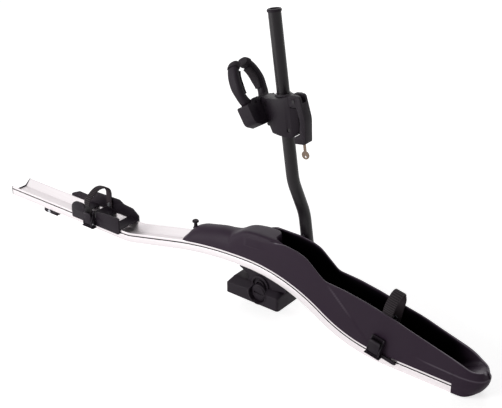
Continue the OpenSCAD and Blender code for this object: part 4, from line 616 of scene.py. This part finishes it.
def tray_side(x, k, mouth_side_x, wall_rear_x, square_knots):
    """Half width and height at each place of one side, and how much painted shade and painted highlight it takes."""
    share = well_open(x, k, mouth_side_x, wall_rear_x)
    (arch_y, arch_z), (trough_y, trough_z) = arch_points(x, k, square_knots), trough_points(x, k)
    y, z = arch_y + (trough_y - arch_y) * share, arch_z + (trough_z - arch_z) * share
    outer_wall = ease(wall_end - k)
    # Painted shade: darker the deeper a place lies in the trough, and much less towards the bowl's end.
    painted_shade = ease((tray_crown(x) - z - 1) / 4) * ease(k - 7) * ease(share * 3)
    painted_shade = painted_shade * (1 - 0.9 * ease((x - 505) / 55))
    # Painted highlights: lighter, glossier lines along the rims, the bowl's end, the nose's ledge and the crease.
    rim = ease((k - 5.5) / 1.5) * ease((9.5 - k) / 1.5) * ease(share * 4 - 1)
    rim = rim * (0.45 + 0.55 * ease((x - 300) / 260))
    bowl_end = 0.35 * ease((x - 520) / 60) * ease(k - 8)
    ledge = 0.35 * np.exp(-((z - skirt_top(x)) / 1.3) ** 2) * ease((x - 440) / 60) * outer_wall
    fold = 0.3 * np.exp(-(crease_off(x, z) / 1.6) ** 2) * ease((x - 196) / 10) * ease((285 - x) / 30) * outer_wall
    return y + wall_relief(x, z, k), z, painted_shade, np.max([rim, bowl_end, ledge, fold], axis=0)


tray_x = np.unique(np.concatenate([
    tray_rear_x + 60 * np.linspace(0, 1, 24) ** 1.5, np.arange(-174, 4, 4), np.arange(4, 112, 1.5),
    np.arange(112, 540, 4), [rail_front_x + seat_gap, rail_front_x + 2 * seat_gap],
    tray_front_x - 70 * np.linspace(1, 0, 60) ** 1.5]))
tray_k = np.linspace(0, side_steps, side_steps * 8 + 1)
grid_x, grid_k = np.meshgrid(tray_x, tray_k, indexing="ij")
near_wall_x, far_wall_x, far_highlight_share = 28, -10, 0.6
near_y, near_z, near_painted_shade, near_highlight = tray_side(grid_x, grid_k, mouth_near_x, near_wall_x, near_square)
far_y, far_z, far_painted_shade, far_highlight = tray_side(grid_x, grid_k, mouth_far_x, far_wall_x, far_square)
near_side = np.stack([grid_x - nose_lean(grid_x, near_z), -near_y, near_z], axis=-1)
far_side = np.stack([grid_x - nose_lean(grid_x, far_z), far_y, far_z], axis=-1)[:, -2::-1]
tray_points = np.concatenate([near_side, far_side], axis=1)
# These two marks paint shade into the trough and highlights onto the rims and edges.
tray_painted_shade = np.concatenate([near_painted_shade, far_painted_shade[:, -2::-1]], axis=1)
tray_highlight = np.concatenate([near_highlight, far_highlight_share * far_highlight[:, -2::-1]], axis=1)
grid_piece("tray_moulding", tray_points, "tray_shell", sharp_deg=55, hollow=tray_painted_shade, painted_highlight=tray_highlight)
print("tray rows, columns:", tray_points.shape[:2])

# %% [markdown]
# ## The straps
# Both straps are flat rubber bands with cross ribs on their outer side, which the buckle's lever bites into.
# A rounded rectangle is carried along the strap's bent line, and its outer side rises and falls with the ribs.

# %% Strap surfaces
def bent_line(corners, spacing):
    """An open line whose corners (y, z, r) are rounded by arcs of radius r, read off again at an even spacing."""
    p = np.array([c[:2] for c in corners], float)
    pieces = [p[:1]]
    for before, corner, after, r in zip(p, p[1:], p[2:], [c[2] for c in corners[1:-1]]):
        u, v = before - corner, after - corner
        u_len, v_len = np.linalg.norm(u), np.linalg.norm(v)
        u, v = u / u_len, v / v_len
        half = math.acos(np.clip(u @ v, -1, 1)) / 2
        back = min(r / math.tan(half), 0.49 * u_len, 0.49 * v_len)
        reach = back * math.tan(half)
        middle = corner + (u + v) / np.linalg.norm(u + v) * reach / math.sin(half)
        first, final = corner + u * back - middle, corner + v * back - middle
        a0 = math.atan2(first[1], first[0])
        swing = math.atan2(first[0] * final[1] - first[1] * final[0], first @ final)
        a = a0 + swing * np.linspace(0, 1, 25)
        pieces.append(middle + reach * np.stack([np.cos(a), np.sin(a)], axis=1))
    line = np.concatenate(pieces + [p[-1:]])
    far = np.cumsum(np.r_[0, np.linalg.norm(np.diff(line, axis=0), axis=1)])
    at = np.linspace(0, far[-1], int(far[-1] / spacing) + 1)
    return np.stack([np.interp(at, far, line[:, i]) for i in (0, 1)], axis=1), at


strap_t, strap_rib, rib_pitch, strap_gap = 3, 1.2, 5, 0.5


def strap_grid(corners, strap_w, plain_start, plain_end):
    """Rounded rectangle along the line; its outer side is raised by the ribs, a soft square wave along the strap."""
    line, at = bent_line(corners, 0.5)
    ahead = np.gradient(line, axis=0)
    ahead = ahead / np.linalg.norm(ahead, axis=1, keepdims=True)
    out = np.stack([-ahead[:, 1], ahead[:, 0]], axis=1)
    wave = np.sin(2 * np.pi * (at - plain_start) / rib_pitch)
    ribs = strap_rib * ease(0.5 + 1.6 * wave) * ease(at - plain_start) * ease(at[-1] - plain_end - at)
    section = rounded([[-strap_w / 2, -strap_t / 2], [strap_w / 2, -strap_t / 2], [strap_w / 2, strap_t / 2],
                       [-strap_w / 2, strap_t / 2]], 0.8, 5)
    raised = (section[:, 1] > 0) * ease((strap_w / 2 - 0.3 - np.abs(section[:, 0])) / 0.6)
    off = section[None, :, 1] + ribs[:, None] * raised[None, :]
    yz = line[:, None, :] + out[:, None, :] * off[..., None]
    # Painted shade on the outer side: full where no rib stands, none on the ribs' tops.
    rib_valley_shade = (1 - ribs[:, None] / strap_rib) * raised[None, :]
    return np.concatenate([np.broadcast_to(section[None, :, :1], (*off.shape, 1)), yz], axis=-1), rib_valley_shade


buckle_wall, front_strap_w, rear_strap_w = 3, 26, 20
rim_y = tray_half_w - tray_lean - tray_wall - strap_t / 2 - strap_rib - strap_gap
front_out_y = tray_half_w + seat_gap + buckle_wall + strap_t / 2 + strap_gap
front_top, front_exit, front_strap_x = 146, -78, 368
front_lean, front_rim_z = math.radians(11), crest_z - 7


def lean_forward(local):
    """Turn about Y that leans the front strap's own frame forward, then a shift to its place on the tray's rim."""
    x, y, z = local[..., 0], local[..., 1], local[..., 2]
    c, s = math.cos(front_lean), math.sin(front_lean)
    return np.stack([front_strap_x + x * c + z * s, y, front_rim_z - x * s + z * c], axis=-1)


front_crest = front_top - front_rim_z
front_corners = [
    (-front_out_y, front_exit - 14, 0), (-front_out_y, front_exit, 5), (-rim_y, front_exit + 4, 5), (-rim_y, 16, 20),
    (-10, front_crest, 22), (10, front_crest, 22), (rim_y, 16, 20), (rim_y, front_exit + 30, 0)]
front_local, front_valley_shade = strap_grid(front_corners, front_strap_w, 60, 50)
front_points = lean_forward(front_local)
grid_piece("front_strap_band", front_points, "front_strap", sharp_deg=60, hollow=front_valley_shade)

rear_strap_x, rear_top = -564, 126
cradle_in_y, cradle_wall, cradle_top = rail_half + seat_gap, 5, 82
rear_buckle_z = rail_rear_top - 7 - 1.5 - 4 - 1
rear_rivet_z = cradle_top - 22
rear_out_y = cradle_in_y + cradle_wall + seat_gap + buckle_wall + strap_t / 2 + strap_gap
rear_in_y = cradle_in_y - strap_t / 2 - strap_rib - strap_gap
rear_corners = [
    (-rear_out_y, rear_buckle_z + 16, 0), (-rear_out_y, rear_buckle_z + 46, 20), (-rear_out_y - 8, rear_top - 24, 22),
    (-6, rear_top + 4, 40), (rear_in_y, rear_top - 16, 24), (rear_in_y, rear_rivet_z - 9, 0)]
rear_local, rear_valley_shade = strap_grid(rear_corners, rear_strap_w, 46, 26)
rear_points = rear_local + np.array([rear_strap_x, 0, 0])
grid_piece("rear_strap_band", rear_points, "rear_strap", sharp_deg=60, hollow=rear_valley_shade)
print("strap rows:", len(front_points), len(rear_points))

# %% [markdown]
# ## The clip beside the front buckle
# The loose end of the front strap is kept by a small bar that points forward from the buckle, along the tray's
# wall. A rounded rectangle is carried straight ahead in the strap's leaning frame, and shrinks towards its end.

# %% Buckle clip
clip_t, clip_h, clip_rear, clip_below = 5, 9, 16.5, 26.5
clip_far = np.array([0, 1, 34, 38, 40])
clip_shrink = np.array([0.9, 1, 1, 0.8, 0.45])
clip_corners = np.array([[-1, -1], [1, -1], [1, 1], [-1, 1]]) * [clip_t / 2, clip_h / 2]
clip_section = rounded(clip_corners, 1.5, 5)
clip_middle = [-tray_half_w - seat_gap - clip_t / 2, front_exit - clip_below]
clip_local = np.concatenate([
    np.broadcast_to(clip_rear + clip_far[:, None, None], (len(clip_far), len(clip_section), 1)),
    clip_section[None] * clip_shrink[:, None, None] + clip_middle], axis=-1)
clip_points = lean_forward(clip_local)
grid_piece("front_buckle_clip", clip_points, "front_buckle")
print("clip rows:", len(clip_points))

# %% [markdown]
# ## The claws
# Each claw is a curved finger whose section is a squared-off oval. It follows a cubic curve from its pin out
# and up to the tip, and gets thinner on the way. The grip pad and the tip cap use the same curve and section,
# shifted inward or swollen, so that they seat on the finger.

# %% Claw surfaces
arm_pivot = np.array([95, 55, 130])
arm_lean = math.radians(8.6)
head_s, arm_offset, claw_back, claw_up, claw_tilt = 350, 30, 61, 34, math.radians(23.4)
claw_w, claw_span, claw_h, claw_pitch, pad_t = 22.4, 29, 97, 21, 4
claw_root_t, claw_tip_t, claw_end, socket_end = 23, 16.5, 0.88, 0.34


def lean(points, angle):
    """Turn about Y that leans +Z toward -X by an angle: x cos - z sin, y, x sin + z cos."""
    c, s = math.cos(angle), math.sin(angle)
    x, y, z = points[..., 0], points[..., 1], points[..., 2]
    return np.stack([x * c - z * s, y, x * s + z * c], axis=-1)


def claws_to_frame(points):
    """From the claw frame to the head's, and from there along the leaning arm to the shared frame."""
    in_head = lean(points, claw_tilt) + np.array([-claw_back, -arm_pivot[1], head_s + claw_up])
    return lean(in_head, arm_lean) + arm_pivot


def claw_grid(t, off, thick, wide, squareness, columns=48):
    """Rings round a cubic curve at t: middle moved outward by off, half sizes thick / 2 and wide / 2."""
    p = np.array([[claw_pitch, -2], [claw_pitch + 27, 8], [claw_pitch + 25, claw_h - 17], [13, claw_h]], float)
    t, off, thick, wide = (np.broadcast_to(v, np.shape(t))[:, None] for v in (t, off, thick, wide))
    weights = [(1 - t) ** 3, 3 * t * (1 - t) ** 2, 3 * t * t * (1 - t), t ** 3]
    middle = sum(w * q for w, q in zip(weights, p))
    slope = (p[1] - p[0]) * (1 - t) ** 2 + (p[2] - p[1]) * 2 * t * (1 - t) + (p[3] - p[2]) * t * t
    slope = slope / np.linalg.norm(slope, axis=1, keepdims=True)
    outward = np.stack([slope[:, 1], -slope[:, 0]], axis=1)
    a = np.linspace(0, 2 * np.pi, columns, endpoint=False)[None, :]
    c = np.sign(np.cos(a)) * np.abs(np.cos(a)) ** (2 / squareness)
    s = np.sign(np.sin(a)) * np.abs(np.sin(a)) ** (2 / squareness)
    yz = middle[:, None, :] + outward[:, None, :] * (off + thick / 2 * c)[..., None]
    return np.concatenate([(wide / 2 * s)[..., None], yz], axis=-1)


def claw_thickness(t):
    """Thickness across the curve, falling evenly from root to tip."""
    return claw_root_t + (claw_tip_t - claw_root_t) * t


def claw_wide(t):
    """Width along the frame tube: narrow in the head's socket, and wider above it."""
    return claw_w + (claw_span - claw_w) * ease((t - socket_end) / 0.2)


finger_t = np.linspace(0, claw_end, 60)
pad_at = np.linspace(socket_end, 0.84, 30)
tip_at = np.linspace(0, 1, 22)
tip_share, tip_gap, tip_reach, tip_extra = 6 / 7, 0.006, 0.13, 5
tip_t = claw_end + tip_gap + tip_reach * tip_share * tip_at
tip_swell = tip_extra * np.sqrt(1 - (tip_share * tip_at) ** 2)
pad_off = -claw_thickness(pad_at) / 2 - seat_gap - pad_t / 2
claw_parts = {
    "claw": claw_grid(finger_t, 0, claw_thickness(finger_t), claw_wide(finger_t), 2.8),
    "claw_pad": claw_grid(pad_at, pad_off, pad_t, claw_wide(pad_at) - 6, 5),
    "claw_tip": claw_grid(tip_t, 0, claw_thickness(tip_t) - 1 + tip_swell, claw_wide(tip_t) - 1 + tip_swell, 2.6),
}
for side, sign in (("near", -1), ("far", 1)):
    for part, points in claw_parts.items():
        grid_piece(f"{side}_{part}_form", claws_to_frame(points * np.array([1, sign, 1])), f"{side}_{part}",
                   sharp_deg=60)
print("claw forms:", len(claw_parts) * 2)

# %% [markdown]
# ## The front foot
# The foot's base is a low moulded block with a ridge under the rail, sloping shoulders and a round pocket for the
# lock cover. Rings across the foot, one behind the other, make it: each ring's corners move with the place along
# the foot, and the pocket and its raised lip are pressed into the near side. Over it stands the saddle, a block
# whose upper face follows the rail's underside. Two half rings on each of its sides are the stiffening arches
# of the real moulding.

# %% Foot base
foot_rear_x, foot_front_x, foot_half_w, foot_low, foot_high = -74, 84, 54, 4, 48
dial_x, dial_z, pocket_r, pocket_y, lip_w, lip_out, end_round = 22, 32, 23.2, -35, 5, 1.5, 6


def foot_rings(x, counts):
    """Six corners across the foot at each x, joined by straight runs of counts points each, then softened."""
    end = np.sqrt(1 - (1 - np.clip(np.minimum(x - foot_rear_x, foot_front_x - x) / end_round, 0, 1)) ** 2)
    side = np.interp(x, [foot_rear_x, foot_front_x], [33, 41]) + 3 * end - 3
    ridge = side + 3 + (foot_high - side - 3) * ease((x - foot_rear_x) / 14) * ease((foot_front_x - x) / 12)
    half = foot_half_w - 5 + 5 * end
    low = foot_low + 0 * x
    corner_y = np.stack([-half, -half, -rail_half + 0 * x, rail_half + 0 * x, half, half, -half], axis=-1)
    corner_z = np.stack([low, side, ridge, ridge, side, low, low], axis=-1)
    at = np.concatenate([i + np.arange(n) / n for i, n in enumerate(counts)])
    share = np.maximum(0, 1 - np.abs(at[:, None] - np.arange(7)))
    y, z = corner_y @ share.T, corner_z @ share.T
    return [(np.roll(v, 1, axis=1) + 2 * v + np.roll(v, -1, axis=1)) / 4 for v in (y, z)]


foot_x = np.unique(np.concatenate([
    foot_rear_x + end_round * np.linspace(0, 1, 8) ** 1.5, np.arange(-68, -6, 3.0), np.arange(-6, 52, 1.2),
    np.arange(52, 78, 3.0), foot_front_x - end_round * np.linspace(0, 1, 8) ** 1.5]))
foot_y, foot_z = foot_rings(foot_x, [30, 16, 16, 10, 12, 12])
foot_gx = np.broadcast_to(foot_x[:, None], foot_y.shape)
from_dial = np.hypot(foot_gx - dial_x, foot_z - dial_z)
pressed = ease((pocket_r + 1 - from_dial) / 1.2) * (foot_y < pocket_y)
lip = ease((from_dial - pocket_r - 0.6) / 0.8) * ease((pocket_r + lip_w - from_dial) / 1.2) * (foot_y < pocket_y)
foot_y = foot_y + (pocket_y - foot_y) * pressed - lip_out * lip * (1 - pressed)
foot_points = np.stack([foot_gx, foot_y, foot_z], axis=-1)
grid_piece("foot_base_moulding", foot_points, "foot_base", sharp_deg=50)
print("foot rows, columns:", foot_points.shape[:2])

# %% Foot saddle
def under_rail(x):
    """The rail's underside: its height measured square to the slope, and a small gap."""
    slope = (rail_top(x + 1) - rail_top(x - 1)) / 2
    return rail_top(x) - rail_h * np.sqrt(1 + slope ** 2) - seat_gap


saddle_front_x, saddle_rear_x, arch_x, arch_out, arch_in = 92, -46, 19, 4.5, -0.5
saddle_top_x = np.linspace(saddle_front_x, saddle_rear_x, 60)
saddle_ring = np.concatenate([
    [[-18, foot_high], [64, foot_high], [70, foot_high + 1.5], [saddle_front_x, foot_high + 5]],
    np.stack([saddle_top_x, under_rail(saddle_top_x)], axis=1),
    [[saddle_rear_x, under_rail(saddle_rear_x) - 2], [-32, foot_high + 24], [-18, foot_high + 17]]])
saddle_y = rail_half * np.array([-1, -1, -0.97, 0.97, 1, 1])
saddle_pull = np.array([0.985, 0.995, 1, 1, 0.995, 0.985])
saddle_mid = np.array([20, foot_high + 12])
saddle_xz = saddle_mid + (saddle_ring - saddle_mid)[None] * saddle_pull[:, None, None]
saddle_points = np.stack([saddle_xz[..., 0], np.broadcast_to(saddle_y[:, None], saddle_xz.shape[:2]),
                          saddle_xz[..., 1]], axis=-1)
grid_piece("foot_saddle_block", saddle_points, "foot_saddle", sharp_deg=30)


def half_ring(middle_r, width, side_y):
    """A rounded bar that stands arch_out from the saddle's side, carried round a little more than half a circle."""
    a = np.linspace(-0.12, np.pi + 0.12, 49)[:, None]
    bar = rounded([[-width / 2, arch_in], [width / 2, arch_in], [width / 2, arch_out], [-width / 2, arch_out]], 1.2)
    far = middle_r + bar[None, :, 0]
    proud = np.broadcast_to(side_y + np.sign(side_y) * bar[None, :, 1], (len(a), len(bar)))
    return np.stack([arch_x + far * np.cos(a), proud, foot_high + far * np.sin(a)], axis=-1)


for label, middle_r, width in (("outer", 23, 5), ("inner", 12, 4)):
    for side, side_y in (("near", -rail_half), ("far", rail_half)):
        grid_piece(f"saddle_{label}_arch_{side}", half_ring(middle_r, width, side_y), "foot_saddle")
print("saddle ring:", len(saddle_ring))

# %% [markdown]
# ## Softened mouldings
# No moulded or pressed piece has a knife edge, and it is the small rounded edges that catch the light. For the
# rear foot, the pads, the cradle, the buckles, the arm's bracket and the clamp head, a copy of the solid's own
# mesh is merged, its flat faces are joined, and every edge that bends is rounded by a millimetre or less.

# %% Softened mouldings
def softened(node, width_mm, bend_deg=28, steps=2):
    """A copy of a solid with every edge that bends more than bend_deg rounded by width_mm."""
    work = bmesh.new()
    work.from_mesh(nodes[node].data)
    bmesh.ops.remove_doubles(work, verts=work.verts, dist=0.002 * MM)
    bmesh.ops.dissolve_limit(work, angle_limit=math.radians(0.5), verts=work.verts, edges=work.edges)
    limit = math.radians(bend_deg)
    bent = [e for e in work.edges if len(e.link_faces) == 2 and e.calc_face_angle(0) > limit]
    bmesh.ops.bevel(work, geom=bent, offset=width_mm * MM, segments=steps, profile=0.5, affect="EDGES",
                    clamp_overlap=True)
    mesh = bpy.data.meshes.new(node + "_edges")
    work.to_mesh(mesh)
    work.free()
    mesh.shade_smooth()
    mesh.set_sharp_from_angle(angle=math.radians(32))
    return dress(bpy.data.objects.new(node + "_softened", mesh), node)


EDGE_MM = {
    "rail_end_cap": 0.6, "front_buckle": 0.6, "front_buckle_lever": 0.5, "wheel_cradle": 0.8, "rear_buckle": 0.6,
    "rear_buckle_lever": 0.5, "foot_knob": 0.7, "rear_foot_block": 0.9,
    "head_body": 0.8, "head_cover": 1.0, "clamp_lever": 1.0, "arm_bracket": 0.6, "foot_pad": 0.6, "rear_pad": 0.5,
}
for node, width in EDGE_MM.items():
    softened(node, width)
print("softened:", len(EDGE_MM))

# %% [markdown]
# ## Floor and light
# The photograph has a plain white ground. A pale floor and a pale world give that: rays from the camera see
# them white, and so do glossy rays, while the light that they add to the object stays modest. One wide soft
# lamp stands low in front on the left, so that the outer walls are lit and the deep trough stays dark, and one
# behind gives the top faces and the tube their bright edges.

# %% Floor
floor_z = cad_box[0][2] - 0.4 * MM
floor_half = 30
floor_mesh = bpy.data.meshes.new("studio_floor")
floor_corners = [(-floor_half, -floor_half, floor_z), (floor_half, -floor_half, floor_z),
                 (floor_half, floor_half, floor_z), (-floor_half, floor_half, floor_z)]
floor_mesh.from_pydata(floor_corners, [], [(0, 1, 2, 3)])
floor = bpy.data.objects.new("studio_floor", floor_mesh)
bpy.context.scene.collection.objects.link(floor)


def seen_directly(tree):
    """1 for rays that come from the camera, or from it by way of a mirror or glass, and 0 for other light."""
    path = add(tree, "LightPath")
    shiny = add(tree, "Math", {"operation": "MAXIMUM"},
                {0: path.outputs["Is Glossy Ray"], 1: path.outputs["Is Transmission Ray"]})
    return add(tree, "Math", {"operation": "MAXIMUM"}, {0: path.outputs["Is Camera Ray"], 1: shiny.outputs[0]})


paper, paper_tree, paper_shader = blank("white_paper")
paper_shader.inputs["Base Color"].default_value = linear("#e9e8e8")
paper_shader.inputs["Roughness"].default_value = 0.9
paper_shader.inputs["Emission Color"].default_value = (1, 1, 1, 1)
glow = add(paper_tree, "Math", {"operation": "MULTIPLY", 1: 0.7}, {0: seen_directly(paper_tree).outputs[0]})
paper_tree.links.new(glow.outputs[0], paper_shader.inputs["Emission Strength"])
floor_mesh.materials.append(paper)
print("floor at", round(floor_z / MM, 1), "mm")

# %% World and lamps
world = bpy.data.worlds.new("studio_world")
world.use_nodes = True
bpy.context.scene.world = world
sky = world.node_tree.nodes["Background"]
sky.inputs["Color"].default_value = (1, 1, 1, 1)
level = add(world.node_tree, "MapRange", {"To Min": 0.22, "To Max": 1.0},
            {"Value": seen_directly(world.node_tree).outputs[0]})
world.node_tree.links.new(level.outputs[0], sky.inputs["Strength"])


def soft_lamp(name, at, toward, size, watts):
    """A square area lamp at a place, turned so that its -Z looks at another place."""
    lamp = bpy.data.lights.new(name, "AREA")
    lamp.shape = "SQUARE"
    lamp.size = size
    lamp.energy = watts
    stand = bpy.data.objects.new(name, lamp)
    bpy.context.scene.collection.objects.link(stand)
    away = np.array(at, float) - np.array(toward, float)
    away = away / np.linalg.norm(away)
    across = np.cross([0, 0, 1], away)
    across = across / np.linalg.norm(across)
    turn = np.eye(4)
    turn[:3] = np.stack([across, np.cross(away, across), away, np.array(at, float)], axis=1)
    stand.matrix_world = Matrix(turn.tolist())
    return stand


soft_lamp("front_lamp", (-1.6, -2.5, 1.1), (0, 0, 0.2), 1.8, 62)
soft_lamp("back_lamp", (-1.0, 2.4, 1.9), (0, 0, 0.2), 2.2, 24)
bpy.context.scene.view_settings.view_transform = "Standard"
print("lamps:", [lamp.name for lamp in bpy.data.lights])
